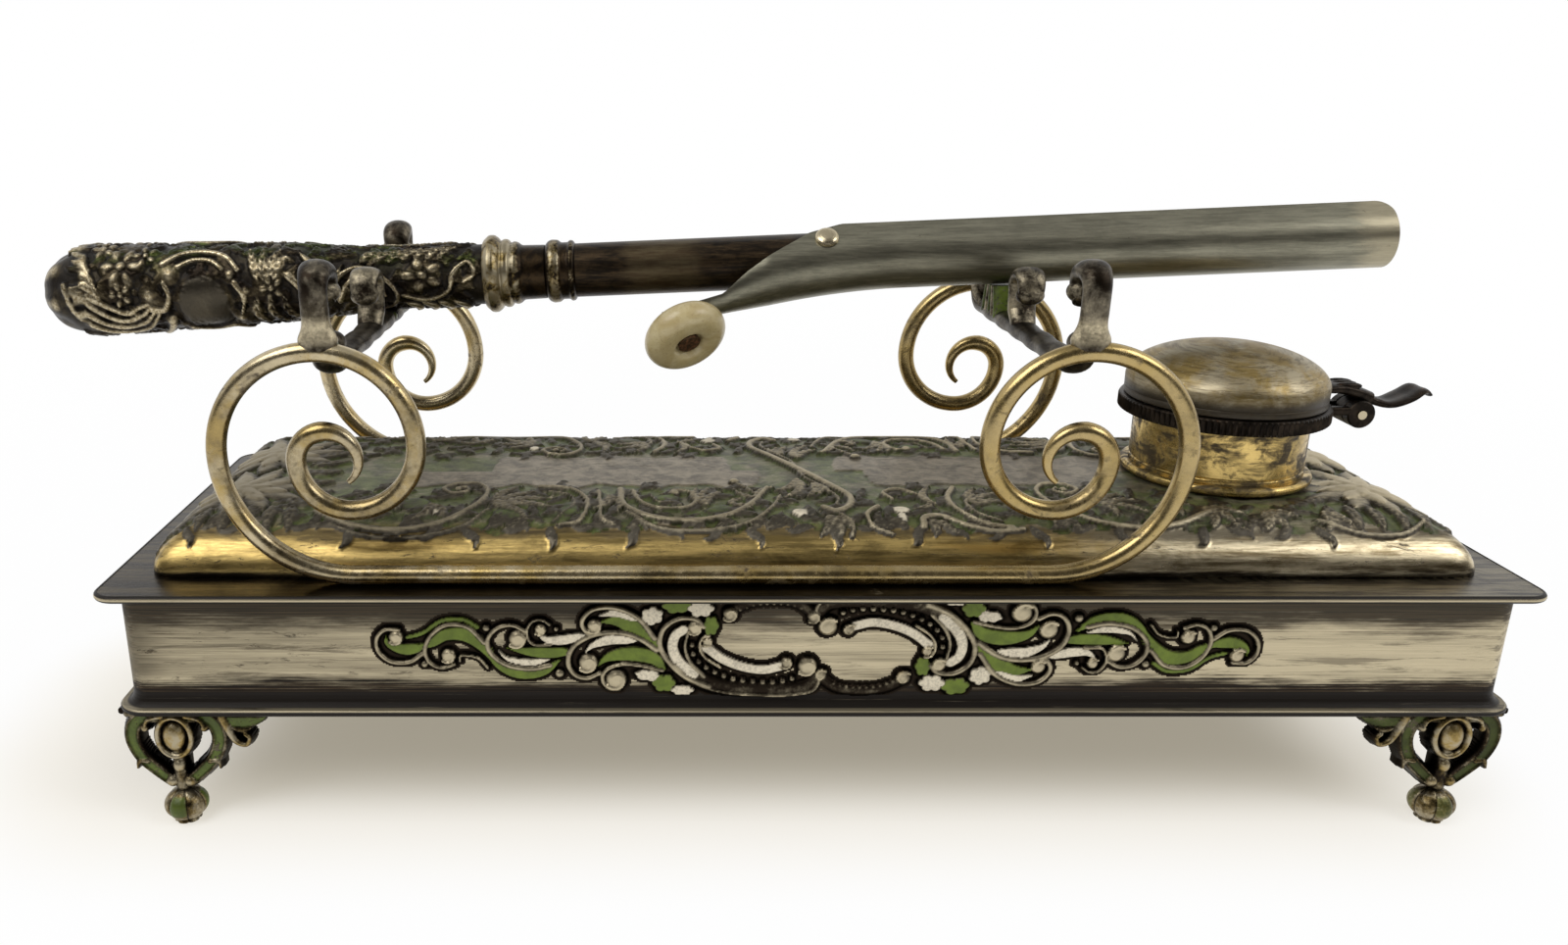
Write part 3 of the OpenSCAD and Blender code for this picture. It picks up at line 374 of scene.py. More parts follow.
def casing_silver(f, c):
    """Rubbed silver plate brushed along the length, with black painted shade under the rim, along the bottom and at
    the left end, and tarnish spots and smears.
    """
    z = f.axis("Z")
    x = f.axis("X")
    broad = f.noise(f.place(0.016, 1, 0.5), 1.0, 5, 0.6)
    streak = f.noise(f.place(0.022, 1, 3.4), 1.0, 6, 0.72)
    hair = f.noise(f.place(0.06, 1, 9.0), 1.0, 4, 0.7)
    ragged = (f.noise(f.place(0.05, 1, 0.4), 1.0, 6, 0.65) - 0.5) * 7 + (streak - 0.5) * 7
    # painted shade: dark bands under the rim's overhang, along the bottom by the moulding and at the left end
    under = (z + ragged * 1.3).rise(DECK_Z - 8.4, DECK_Z - 4.4)
    low = (z + ragged).rise(FOOT_H + 6.8, FOOT_H + 4.4)
    corner = (x + ragged).rise(CASKET_X - WALL_LONG + 9, CASKET_X - WALL_LONG + 1) * 0.6
    worn_end = (x + broad * 90).rise(50, -40)
    spots = f.noise(f.place(0.16, 1, 0.55), 1.0, 7, 0.72, 0.4).rise(0.56, 0.66) * worn_end
    rubbed = f.noise(f.place(0.045, 1, 0.7), 1.0, 7, 0.75, 0.5).rise(0.52, 0.62) * 0.5
    # dark joins the painted shade bands with the tarnish spots and smears
    dark = (under * 0.92).larger(low).larger(corner).larger(spots * 0.85).larger(rubbed)
    plate = (broad * 0.75 + streak * 0.25 + (x - CASKET_X) * 0.0008).rise(0.36, 0.62)
    colour = f.mix(plate, tone(c.silver, 0.6), tone(c.silver, 1.3))
    colour = f.mix(hair.rise(0.35, 0.7) * 0.35, colour, tone(c.silver, 2.0))
    # one colour for both the painted shade and the tarnish
    sooty = f.mix(streak.rise(0.42, 0.64), tone(c.tarnish, 0.45), tone(c.rust, 0.9))
    colour = f.mix(dark, colour, sooty)
    rough = 0.36 + streak * 0.1 + dark * 0.12
    return f.surface(colour, rough, 1.0 - dark * 0.9, hair + streak, 0.03, Specular_IOR_Level=0.15)


def rim_silver(f, c):
    """Silver plate of the mouldings, black, with a painted highlight along the edge of each bead and faint worn
    streaks.
    """
    z = f.axis("Z")
    streak = f.noise(f.place(0.05, 0.3, 2.5), 1.0, 6, 0.7)
    # painted highlights: a bright line on the cover rim's bead and a fainter one on the base moulding's bead
    bright_line = z.rise(DECK_Z - 0.74, DECK_Z - 0.6) * z.rise(DECK_Z - 0.2, DECK_Z - 0.36)
    lower_line = z.rise(FOOT_H + 0.82, FOOT_H + 0.94) * z.rise(FOOT_H + 1.2, FOOT_H + 1.06)
    # worn holds the painted highlight lines, broken by streaks, and faint worn streaks
    worn = bright_line.larger(lower_line * 0.5) * streak.rise(0.3, 0.5)
    worn = worn.larger(streak.rise(0.6, 0.75) * 0.15)
    colour = f.mix(worn, tone(c.tarnish, 0.5), tone(c.silver, 1.35))
    return f.surface(
        colour, 0.36 + streak * 0.15, worn * 0.8 + 0.2, streak, 0.03, Specular_IOR_Level=0.2
    )


def chased_cover(f, c):
    """Chased top: grey relief and olive enamel over a shoulder that goes from gilt to silver."""
    raised, green, cream, hollow = f.chasing()
    x = f.axis("X")
    z = f.axis("Z")
    streak = f.noise(f.place(0.05, 0.7, 0.7), 1.0, 7, 0.72)
    pits = f.noise(f.place(0.5, 1, 1), 1.1, 7, 0.72)
    blotch = f.noise(f.place(0.35, 1, 1), 0.22, 8, 0.72, 0.7)
    drift = (f.noise(f.place(), 0.05, 6, 0.65) - 0.5) * 90
    gilt = (x + drift).rise(CASKET_X + 66, CASKET_X + 30)
    bright = f.mix(gilt, tone(c.silver, 1.7), tone(c.gilt, 1.2))
    deep = f.mix(gilt, tone(c.brass, 1.1), tone(c.gilt, 0.42))
    metal = f.mix((streak * 0.6 + blotch * 0.4).rise(0.40, 0.58), deep, bright)
    spots = (blotch * 0.6 + pits * 0.4).rise(0.58, 0.64).larger(pits.rise(0.66, 0.70) * 0.8)
    # painted shade: a dark band round the dome's foot, where it meets the flange
    foot = (z + (streak - 0.5) * 3.2).rise(DECK_Z + 1.9, DECK_Z + 0.5)
    upper = z.rise(DECK_Z + 6.4, DECK_Z + 7.4)
    seam = (z + (blotch - 0.5) * 5).rise(DECK_Z + 5.0, DECK_Z + 6.2) * (1 - upper) * 0.75
    cracks = f.noise(f.place(0.25, 1, 1), 0.5, 9, 0.8, 1.2).rise(0.57, 0.61) * 0.8
    dark = spots.larger(seam).larger(cracks * (1 - foot))
    stone = f.noise(f.place(), 0.3, 6, 0.65, 0.5)
    fine = f.noise(f.place(0.4, 1, 1), 2.0, 6, 0.7)
    plain = f.mix((stone * 0.6 + fine * 0.4).rise(0.38, 0.62), tone(c.pewter, 0.8),
                  tone(c.pewter, 1.9))
    worn = (raised * 1.3 - 0.5 + (fine - 0.5) * 1.0).rise(-0.05, 0.7)
    crests = f.mix((x + drift).rise(CASKET_X - 70, CASKET_X + 50), tone(c.silver, 0.75),
                   tone(c.silver, 1.35))
    ribs = f.mix(worn, tone(c.pewter, 0.5), crests)
    relief = raised.rise(0.02, 0.2)
    colour = f.mix(upper, metal, plain)
    colour = f.mix(dark * (1 - upper * 0.55), colour, tone(c.tarnish, 0.8))
    # darkened copies of the metals, as the colour of the painted shade at the dome's foot, streaked with tarnish
    bronze = f.mix((x + drift).rise(CASKET_X - 20, CASKET_X + 70), tone(c.brass, 0.4),
                   tone(c.silver, 0.42))
    colour = f.mix(foot, colour, f.mix(streak.rise(0.40, 0.60), tone(c.tarnish, 0.9), bronze))
    colour = f.mix(relief, colour, ribs)
    # hollow darkens: oxide in the recesses beside the ribs, painted shade on the ribs' flanks
    colour = f.mix(hollow.rise(0.1, 0.8) * 0.85, colour, tone(c.tarnish, 0.9))
    olive = f.mix(stone.rise(0.34, 0.62), tone(c.olive, 0.55), tone(c.olive, 1.7))
    chips = (stone * 0.45 + fine * 0.55).rise(0.64, 0.58)
    laid = f.noise(f.place(0.6, 1, 1), 0.14, 7, 0.7, 0.6).rise(0.40, 0.54)
    painted = green * chips * (laid * 0.64 + 0.3)
    colour = f.mix(painted, colour, olive)
    shell = f.mix(stone.rise(0.4, 0.7), c.cream[:], tone(c.cream, 0.6))
    pale = cream * chips
    colour = f.mix(pale, colour, shell)
    glass = painted.larger(pale)
    rough = 0.24 + streak * 0.1 + dark * 0.2 + upper * 0.16 + relief * 0.06
    metallic = (1 - glass) * (1.0 - dark * 0.7)
    height = pits * 0.6 + fine * 0.5 - glass * 0.2
    return f.surface(colour, rough, metallic, height, 0.05, Specular_IOR_Level=0.3)


def enamel_scrollwork(f, c):
    """Applied scrollwork in dark silver, filled with grass green and cream enamel."""
    raised, green, cream, hollow = f.chasing()
    fine = f.noise(f.place(), 2.4, 6, 0.65)
    soft = f.noise(f.place(), 0.45, 5, 0.6, 0.3)
    polished = (raised * 1.5 - 0.75 + (soft - 0.5) * 0.9 + (fine - 0.5) * 0.3).rise(-0.1, 0.75)
    metal = f.mix(polished, tone(c.tarnish, 0.9), tone(c.silver, 1.2))
    # hollow darkens: oxide in the recesses beside the ribs, painted shade on the ribs' flanks
    metal = f.mix(hollow.rise(0.15, 0.7), metal, tone(c.tarnish, 0.35))
    grass = f.mix(soft.rise(0.3, 0.7), tone(c.grass, 0.75), tone(c.grass, 1.15))
    bone = f.mix((soft * 0.4 + fine * 0.6).rise(0.44, 0.64), c.cream[:], tone(c.cream, 0.62))
    colour = f.mix(green, metal, grass)
    colour = f.mix(cream, colour, bone)
    glass = green.larger(cream)
    rough = 0.34 + fine * 0.18 - glass * 0.04
    return f.surface(colour, rough, 1 - glass, fine - glass * 0.2, 0.03, Specular_IOR_Level=0.3)


def foot_bronze(f, c):
    """Cast feet: rubbed gilt bronze, nearly black in the hollows, with chipped green enamel."""
    raised, green, _, hollow = f.chasing()
    fine = f.noise(f.place(), 2.2, 6, 0.65)
    soft = f.noise(f.place(), 0.35, 6, 0.65, 0.4)
    polished = (raised * 1.3 - 0.6 + (soft - 0.5) * 1.3 + (fine - 0.5) * 0.7).rise(0.0, 0.75)
    metal = f.mix(polished, tone(c.tarnish, 0.8),
                  f.mix(soft.rise(0.4, 0.6), tone(c.gilt, 0.75), tone(c.silver, 0.95)))
    # hollow darkens: oxide in the recesses beside the ribs, painted shade on the ribs' flanks
    metal = f.mix(hollow.rise(0.15, 0.8) * 0.9, metal, tone(c.tarnish, 0.35))
    grass = f.mix(soft.rise(0.3, 0.7), tone(c.grass, 0.45), tone(c.grass, 0.9))
    left = f.axis("X").rise(60, -60) * 0.5 + 0.5
    enamel = green * (soft * 0.5 + fine * 0.5).rise(0.60, 0.54) * left
    colour = f.mix(enamel, metal, grass)
    return f.surface(colour, 0.26 + fine * 0.2, 1 - enamel, fine + soft * 0.5, 0.06,
                     Specular_IOR_Level=0.35)


def gilt_wire(f, c):
    """Gilt brass wire, rubbed to silvery wear, with brown in its small pits."""
    along = f.noise(f.place(), 0.10, 5, 0.65)
    rubbed = along.rise(0.38, 0.58) * (f.axis("X").rise(CASKET_X + 40, CASKET_X - 70) * 0.7 + 0.2)
    bright = f.mix(rubbed, tone(c.gilt, 1.1), tone(c.silver, 1.75))
    deep, dirt = tone(c.brass, 0.9), tone(c.rust, 0.6)
    return worn_metal(f, bright, deep, dirt, (0.7, 1, 0.7), 0.42, 0.75, 0.18, 0.6, 0.05)


def cradle_pewter(f, c):
    """Cast metal, nearly black in the hollows, with worn silver edges, a painted highlight of bright silver round the
    foot of each post, and green leaves.
    """
    raised, green, cream, hollow = f.chasing()
    fine = f.noise(f.place(), 2.0, 6, 0.65)
    soft = f.noise(f.place(), 0.28, 6, 0.65, 0.4)
    metal = f.mix(soft.rise(0.40, 0.62), tone(c.tarnish, 0.9), tone(c.pewter, 0.8))
    metal = f.mix((raised * 0.8 + (soft - 0.5) * 0.8 + (fine - 0.5) * 0.6).rise(0.5, 0.9), metal,
                  tone(c.silver, 0.9))
    # painted highlight: bright silver where the cream share marks the foot of each post
    metal = f.mix(cream * (0.6 + (fine - 0.5) * 1.6), metal, tone(c.silver, 1.7))
    leaf = f.mix(soft.rise(0.3, 0.7), tone(c.grass, 0.35), tone(c.grass, 0.8))
    colour = f.mix(green * fine.rise(0.62, 0.52), metal, leaf)
    colour = f.mix(hollow * 0.85, colour, tone(c.tarnish, 0.5))
    return f.surface(colour, 0.26 + fine * 0.25, 1 - green * 0.9, fine + soft * 0.5, 0.06,
                     Specular_IOR_Level=0.3)


def gilt_cup(f, c):
    """Gilt cup with brown spots and soft scratches round it."""
    patch = f.noise(f.place(1, 1, 1.3), 0.2, 8, 0.72, 0.6)
    bright = f.mix(patch.rise(0.35, 0.6), tone(c.gilt, 0.95), tone(c.gilt, 1.9))
    deep, dirt = tone(c.gilt, 0.4), tone(c.rust, 0.4)
    return worn_metal(f, bright, deep, dirt, (0.12, 0.12, 1.6), 0.42, 1.12, 0.16, 0.6, 0.03)


def dark_collar(f, c):
    """Blackened steel with a little copper showing where it is handled."""
    fine = f.noise(f.place(), 2.5, 6, 0.65)
    soft = f.noise(f.place(), 0.4, 5, 0.6, 0.4)
    black = f.mix(soft.rise(0.35, 0.65), tone(c.tarnish, 0.45), tone(c.tarnish, 1.5))
    copper = (soft * 0.6 + fine * 0.4).rise(0.60, 0.72)
    colour = f.mix(copper * 0.75, black, c.copper[:])
    return f.surface(colour, 0.3 + fine * 0.2, 0.9 - copper * 0.1, fine, 0.03)


def lid_brass(f, c):
    """Silver-gilt lid, rubbed dull, with fine slanting scratches and a painted dark reflection along its lower edge.
    """
    z = f.axis("Z")
    slant = f.noise(f.place(0.35, 0.1, 3.0), 1.0, 6, 0.7, 0.6)
    cross = f.noise(f.place(0.12, 0.9, 1.0), 1.6, 5, 0.7, 0.2)
    patch = f.noise(f.place(), 0.12, 6, 0.65, 0.4)
    # painted reflection: the lower edge of the lid darkened
    dusk = (z + (patch - 0.5) * 4 + (slant - 0.5) * 2).rise(CUP_TOP + 7.2, CUP_TOP + 4.4)
    plate = f.mix(patch.rise(0.4, 0.6), tone(c.gilt, 0.62), tone(c.silver, 0.95))
    colour = f.mix(slant.rise(0.42, 0.68) * 0.6, plate, tone(c.rust, 0.9))
    colour = f.mix(cross.rise(0.58, 0.72) * 0.5, colour, tone(c.silver, 1.7))
    colour = f.mix(dusk * 0.92, colour, tone(c.tarnish, 0.7))
    return f.surface(colour, 0.34 + slant * 0.16, 1.0 - dusk * 0.6, slant + cross * 0.5, 0.035,
                     Specular_IOR_Level=0.3)


def burner_copper(f, c):
    """Dull copper of the wick tube."""
    deep = tone(c.copper, 0.5)
    return worn_metal(f, c.copper[:], deep, c.tarnish[:], (1, 1, 1), 0.45, 0.6, 0.35, 0.6, 0.03)


def cotton(f, c):
    """Off-white cotton of the wick and the wadding."""
    strands = f.noise(f.place(1.5, 1.5, 0.5), 2.0, 6, 0.7, 1.0)
    colour = f.mix(strands.rise(0.3, 0.7), tone(c.cream, 0.6), tone(c.cream, 0.95))
    return f.surface(colour, 0.9 + strands * 0.1, 0.0, strands, 0.2)


def handle_silver(f, c):
    """Chased handle, black-brown in the ground and rubbed silver on the raised work."""
    raised, _, cream, hollow = f.chasing()
    fine = f.noise(f.place(), 2.2, 6, 0.65)
    soft = f.noise(f.place(), 0.22, 6, 0.65, 0.5)
    brown = f.mix(soft.rise(0.42, 0.66), tone(c.tarnish, 0.7), tone(c.brass, 0.32))
    polished = (raised * 1.4 - 0.7 + (soft - 0.5) * 1.2 + (fine - 0.5) * 0.8).rise(0.0, 0.8)
    warm = f.mix(fine.rise(0.4, 0.6), tone(c.silver, 1.5), tone(c.brass, 1.1))
    colour = f.mix(polished, brown, warm)
    colour = f.mix(cream * 0.85, colour, tone(c.pewter, 0.4))
    above = f.axis("Z").rise(PIVOT[2] - 3, PIVOT[2] + 4)
    upward = f.noise(f.place(0.3, 0.3, 0.3), 0.3, 5, 0.6).rise(0.50, 0.60) * above
    moss = upward * (1 - polished) * 0.9
    colour = f.mix(moss, colour, tone(c.olive, 0.9))
    # hollow darkens: oxide in the ground and the recesses beside the ribs, painted shade on the ribs' flanks
    colour = f.mix(hollow.rise(0.15, 0.8) * 0.95, colour, tone(c.tarnish, 0.4))
    rough = 0.24 + fine * 0.2 + hollow * 0.2
    return f.surface(colour, rough, 0.95 - hollow * 0.6, fine, 0.05, Specular_IOR_Level=0.3)


def ferrule_gilt(f, c):
    """Ferrule with gold and silver on its edges and brown-black between them."""
    raised = f.chasing()[0]
    fine = f.noise(f.place(), 1.8, 6, 0.7)
    soft = f.noise(f.place(), 0.35, 6, 0.65, 0.5)
    metal = f.mix(soft.rise(0.42, 0.6), tone(c.gilt, 0.5), tone(c.silver, 0.8))
    worn = (raised * 0.8 + (soft - 0.5) * 2.0 + (fine - 0.5) * 1.2).rise(0.42, 0.9)
    colour = f.mix(worn, f.mix(soft.rise(0.4, 0.6), tone(c.tarnish, 0.7), tone(c.rust, 0.7)), metal)
    return f.surface(colour, 0.22 + fine * 0.2, 0.95, fine, 0.05, Specular_IOR_Level=0.3)


def rod_steel(f, c):
    """Dark brown steel rod, with a copper-coloured heat band beside the pivot."""
    x = f.axis("X")
    drifted = x + (f.noise(f.place(0.5, 1, 1), 0.25, 5) - 0.5) * 9
    band = drifted.rise(PIVOT[0] - 39, PIVOT[0] - 36) * drifted.rise(PIVOT[0] - 22, PIVOT[0] - 27)
    fine = f.noise(f.place(0.12, 1.5, 1.5), 1.3, 7, 0.72)
    patch = f.noise(f.place(0.35, 1, 1), 0.4, 7, 0.7, 0.3)
    brown = f.mix((patch * 0.5 + fine * 0.5).rise(0.42, 0.62), tone(c.tarnish, 0.6),
                  tone(c.rust, 1.0))
    warm = f.mix((patch * 0.5 + fine * 0.5).rise(0.40, 0.6), tone(c.rust, 0.9), tone(c.brass, 0.5))
    colour = f.mix(band * 0.85, brown, warm)
    colour = f.mix(fine.rise(0.62, 0.75) * 0.5, colour, tone(c.silver, 0.6))
    return f.surface(colour, 0.3 + patch * 0.2, 0.85, fine + patch, 0.04, Specular_IOR_Level=0.3)


def jaw_nickel(f, c):
    """Greenish grey jaw with a lengthwise rub, small brown spots and a bright worn tip."""
    x = f.axis("X")
    streak = f.noise(f.place(0.12, 1.8, 1.8), 1.0, 8, 0.76)
    patch = f.noise(f.place(0.3, 1, 1), 0.2, 8, 0.74, 0.4)
    speck = f.noise(f.place(0.5, 1, 1), 1.2, 6, 0.7)
    tip = (x + (patch - 0.5) * 14).rise(PIVOT[0] + 96, PIVOT[0] + 101)
    colour = f.mix((streak * 0.6 + patch * 0.4).rise(0.4, 0.62), tone(c.nickel, 0.6), c.nickel[:])
    colour = f.mix(tip * (0.25 + streak * 0.5), colour, tone(c.silver, 1.2))
    dirt = speck.rise(0.66, 0.72).larger((patch * 0.6 + streak * 0.4).rise(0.6, 0.66) * 0.7)
    colour = f.mix(dirt * 0.8, colour, tone(c.rust, 0.9))
    return f.surface(colour, 0.3 + streak * 0.14, 1.0 - dirt * 0.5, streak + speck * 0.4, 0.03,
                     Specular_IOR_Level=0.3)


def screw_steel(f, c):
    """Bright steel of the screws, the pin and the spring."""
    bright, deep = tone(c.silver, 1.5), tone(c.silver, 0.7)
    return worn_metal(f, bright, deep, c.tarnish[:], (1, 1, 1), 0.4, 0.35, 0.18, 0.5, 0.02)


def pearl_button(f, c):
    """Ivory-coloured button with faint rings and a soft polish."""
    cloud = f.noise(f.place(), 0.25, 4, 0.6, 1.0)
    rings = f.noise(f.place(1, 1, 2), 0.8, 3, 0.5, 2.0)
    base = f.mix(cloud.rise(0.3, 0.7), c.ivory[:], c.ivory_deep[:])
    colour = f.mix(rings.rise(0.5, 0.75) * 0.5, base, c.ivory_ring[:])
    return f.surface(colour, 0.28 + cloud * 0.12, 0.0, rings, 0.03, 0.3, Coat_Roughness=0.15)


def rivet_brown(f, c):
    """Brown steel rivet."""
    fine = f.noise(f.place(), 1.5, 5, 0.65)
    colour = f.mix(fine.rise(0.35, 0.7), tone(c.rust, 0.8), tone(c.copper, 0.7))
    return f.surface(colour, 0.4 + fine * 0.2, 0.8, fine, 0.03)


# ---------------------------------------------------------------- paths


def bends(start, heading, *turns, step=0.45):
    """Points along round bends, each (radius, degrees); a turn of (length, 0) runs straight."""
    point = np.array(start, float)
    angle = math.radians(heading)
    points = [point.copy()]
    for radius, degrees in turns:
        if degrees == 0:
            n = max(1, math.ceil(radius / step))
            for _ in range(n):
                point = point + radius / n * np.array([math.cos(angle), math.sin(angle)])
                points.append(point.copy())
            continue
        turn = math.radians(degrees)
        n = max(3, math.ceil(abs(turn) * radius / step))
        side = math.copysign(1, turn)
        for k in range(1, n + 1):
            new = angle + turn * k / n
            points.append(point + radius * side * np.array(
                [math.sin(new) - math.sin(angle), math.cos(angle) - math.cos(new)]
            ))
        point = points[-1]
        angle += turn
    return np.array(points)


def scroll(eye, inner, outer, start, turn):
    """A scroll that winds from its outer end into its eye; start and turn are in degrees."""
    step = 8
    share = np.linspace(0, 1, int(turn / step) + 1)
    angle = np.radians(start + turn * share)
    radius = outer * (inner / outer) ** share
    return np.array(eye) + np.stack([radius * np.cos(angle), radius * np.sin(angle)], 1)


def through(*points, step=0.4):
    """A smooth path through points."""
    p = np.array(points, float)
    p = np.concatenate([2 * p[:1] - p[1:2], p, 2 * p[-1:] - p[-2:-1]])
    out = []
    for a, b, c, d in zip(p[:-3], p[1:-2], p[2:-1], p[3:]):
        n = max(2, math.ceil(np.linalg.norm(c - b) / step))
        t = np.linspace(0, 1, n, endpoint=False)[:, None]
        out.append(
            b + (c - a) * t / 2
            + (2 * a - 5 * b + 4 * c - d) * t**2 / 2
            + (3 * b - a - 3 * c + d) * t**3 / 2
        )
    return np.concatenate([*out, p[-2:-1]])


# ---------------------------------------------------------------- raised work


class Chasing:
    """Raised work on a surface laid out flat: heights and enamel at its points, in millimetres."""

    def __init__(self, x, y):
        self.x = np.ravel(x)
        self.y = np.ravel(y)
        self.height = np.full(self.x.shape, -1.0)
        self.green = np.zeros(self.x.shape)
        self.cream = np.zeros(self.x.shape)
        self.hollow = np.zeros(self.x.shape)

    def _near(self, low, high):
        """Numbers of the points inside a box."""
        return np.nonzero(
            (self.x > low[0]) & (self.x < high[0]) & (self.y > low[1]) & (self.y < high[1])
        )[0]

    def _raise(self, at, q, gap, rise, base, fill, rim, depth):
        """Lifts points by a rounded section, q of the way out to its edge and gap past it."""
        inside = q < 1
        z = np.where(inside, rise * np.sqrt(np.clip(1 - q * q, 0, 1)) ** 0.8, -gap * 1.5)
        if fill:
            floor = rise * (1 - depth)
            lip = np.clip((q - (1 - rim)) / (rim * 0.5), 0, 1)
            z = np.where(inside & (q < 1 - rim / 2), np.minimum(z, floor + (rise - floor) * lip), z)
        z = z + np.where(inside, base, 0)
        won = z > self.height[at]
        won_at = at[won]
        self.height[won_at] = z[won]
        body = won & inside
        body_at = at[body]
        for name in ("green", "cream", "hollow"):
            getattr(self, name)[body_at] = 0
        if fill in ("green", "cream"):
            laid = np.clip((1 - rim - q[body]) * 6 / rim * 0.25 + 0.5, 0, 1)
            getattr(self, fill)[body_at] = laid
        # the hollow share: dark oxide in the recess just outside each rib, and painted shade on the rib's own outer
        # flank
        outline = np.clip(1 - gap / 0.55, 0, 1) * (~inside)
        edge = np.clip((q - 0.82) / 0.18, 0, 1) * inside * 0.7
        shade = np.maximum(outline, edge)
        touched = body | (~inside & (z + gap * 1.5 + 0.02 > self.height[at]))
        self.hollow[at[touched]] = np.maximum(self.hollow[at[touched]], shade[touched])

    def stroke(self, path, wide, rise, narrow=None, base=0.0, fill=None, rim=0.3, depth=0.35,
               leaf=False, ribs=0.0):
        """Rib along a path; a leaf swells in its middle, a fill lies sunk in it, ribs cross it."""
        path = np.asarray(path, float)
        share = np.linspace(0, 1, len(path))
        if leaf:
            half = wide / 2 * np.sin(np.pi * np.clip(share, 0.02, 0.98) ** 0.75) ** 0.8
        else:
            half = (wide + ((wide if narrow is None else narrow) - wide) * share) / 2
        half = np.maximum(half, 0.08)
        reach = wide / 2 + 0.9
        at = self._near(path.min(0) - reach, path.max(0) + reach)
        if len(at) == 0:
            return
        here = np.stack([self.x[at], self.y[at]], 1)
        a, step = path[:-1], path[1:] - path[:-1]
        length = np.maximum((step * step).sum(1), 1e-9)
        away = here[:, None, :] - a[None]
        t = np.clip((away * step[None]).sum(2) / length, 0, 1)
        d = np.linalg.norm(away - t[..., None] * step[None], axis=2)
        width = half[:-1] + (half[1:] - half[:-1]) * t
        k = np.argmin(d - width, axis=1)
        rows = np.arange(len(at))
        d, width, t = d[rows, k], width[rows, k], t[rows, k]
        q = d / width
        lift = rise
        if ribs:
            run = (k + t) * np.sqrt(length.mean())
            wave = 0.5 + 0.5 * np.cos(2 * np.pi * (run * ribs - q * 0.9))
            lift = rise * (0.72 + 0.28 * wave) - 0.12 * (np.abs(q) < 0.16)
        self._raise(at, q, np.maximum(d - width, 0), lift, base, fill, rim, depth)

    def pebble(self, x, y, rx, ry, rise, turn=0.0, base=0.0, fill=None, rim=0.25, depth=0.2):
        """A rounded oval."""
        reach = max(rx, ry) + 0.9
        at = self._near((x - reach, y - reach), (x + reach, y + reach))
        a = math.radians(turn)
        dx, dy = self.x[at] - x, self.y[at] - y
        u, v = dx * math.cos(a) + dy * math.sin(a), -dx * math.sin(a) + dy * math.cos(a)
        q = np.hypot(u / rx, v / ry)
        self._raise(at, q, np.maximum(q - 1, 0) * min(rx, ry), rise, base, fill, rim, depth)

    def beads(self, path, r, rise, spacing):
        """Beads strung along a path."""
        path = np.asarray(path, float)
        run = np.concatenate([[0], np.cumsum(np.linalg.norm(np.diff(path, axis=0), axis=1))])
        for s in np.arange(spacing / 2, run[-1], spacing):
            self.pebble(np.interp(s, run, path[:, 0]), np.interp(s, run, path[:, 1]), r, r, rise)

    def rosette(self, x, y, petals, inner, outer, wide, rise, start, **how):
        """Petals round a centre."""
        for k in range(petals):
            a = math.radians(start + 360 * k / petals)
            way = np.array([math.cos(a), math.sin(a)])
            path = np.array([x, y]) + np.linspace(inner, outer, 5)[:, None] * way
            self.stroke(path, wide, rise, leaf=True, **how)

    def shares(self, full):
        """The four shares that the finishes read, with heights as a share of full."""
        raised = np.clip(self.height / full, 0, 1)
        return np.stack([raised, self.green, self.cream, np.clip(self.hollow, 0, 1)], 1)


# ---------------------------------------------------------------- mesh making


class Casting:
    """Points, faces and chasing that end up as one piece."""

    def __init__(self):
        self.points, self.faces, self.shares = [], [], []
        self.count = 0

    def add(self, points, faces, shares=(0.6, 0, 0, 0), place=None):
        """Adds a closed shape with its four shares, one row for all its points or one for each."""
        points = np.asarray(points, float).reshape(-1, 3)
        if place is not None:
            m = np.array(place)
            points = points @ m[:3, :3].T + m[:3, 3]
        self.points.append(points)
        self.faces.extend([[int(i) + self.count for i in face] for face in faces])
        shares = np.asarray(shares, float)
        if shares.ndim == 1:
            shares = np.tile(shares, (len(points), 1))
        self.shares.append(shares)
        self.count += len(points)
        return self

    def piece(self, name, body, slot, material, *replaced):
        """Makes the object: welded, facing outwards, smooth except at sharp edges."""
        mesh = bpy.data.meshes.new(name)
        mesh.from_pydata((np.concatenate(self.points) * MM).tolist(), [], self.faces)
        layer = mesh.attributes.new("chasing", "FLOAT_COLOR", "POINT")
        layer.data.foreach_set("color", np.concatenate(self.shares).astype(np.float32).ravel())
        work = bmesh.new()
        work.from_mesh(mesh)
        bmesh.ops.remove_doubles(work, verts=work.verts, dist=2e-6)
        bmesh.ops.dissolve_degenerate(work, edges=work.edges, dist=1e-6)
        bmesh.ops.recalc_face_normals(work, faces=work.faces)
        work.to_mesh(mesh)
        work.free()
        mesh.shade_smooth()
        mesh.set_sharp_from_angle(angle=math.radians(42))
        made = put(name, mesh)
        mesh.materials.append(material)
        if body:
            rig.ride(made, body)
        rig.slot(made, slot)
        if replaced:
            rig.replaces(made, *replaced)
        return made


def lattice(rows, columns, around=False):
    """Quads between points numbered row by row."""
    faces = []
    for i in range(rows - 1):
        for j in range(columns if around else columns - 1):
            k = (j + 1) % columns
            a, b = i * columns, (i + 1) * columns
            faces.append((a + j, a + k, b + k, b + j))
    return faces


def loft(rings):
    """Closed tube through rings of equal counts, with flat ends."""
    rings = np.asarray(rings, float)
    n, m = rings.shape[:2]
    faces = lattice(n, m, True)
    faces.append(tuple(range(m - 1, -1, -1)))
    faces.append(tuple((n - 1) * m + k for k in range(m)))
    return rings.reshape(-1, 3), faces


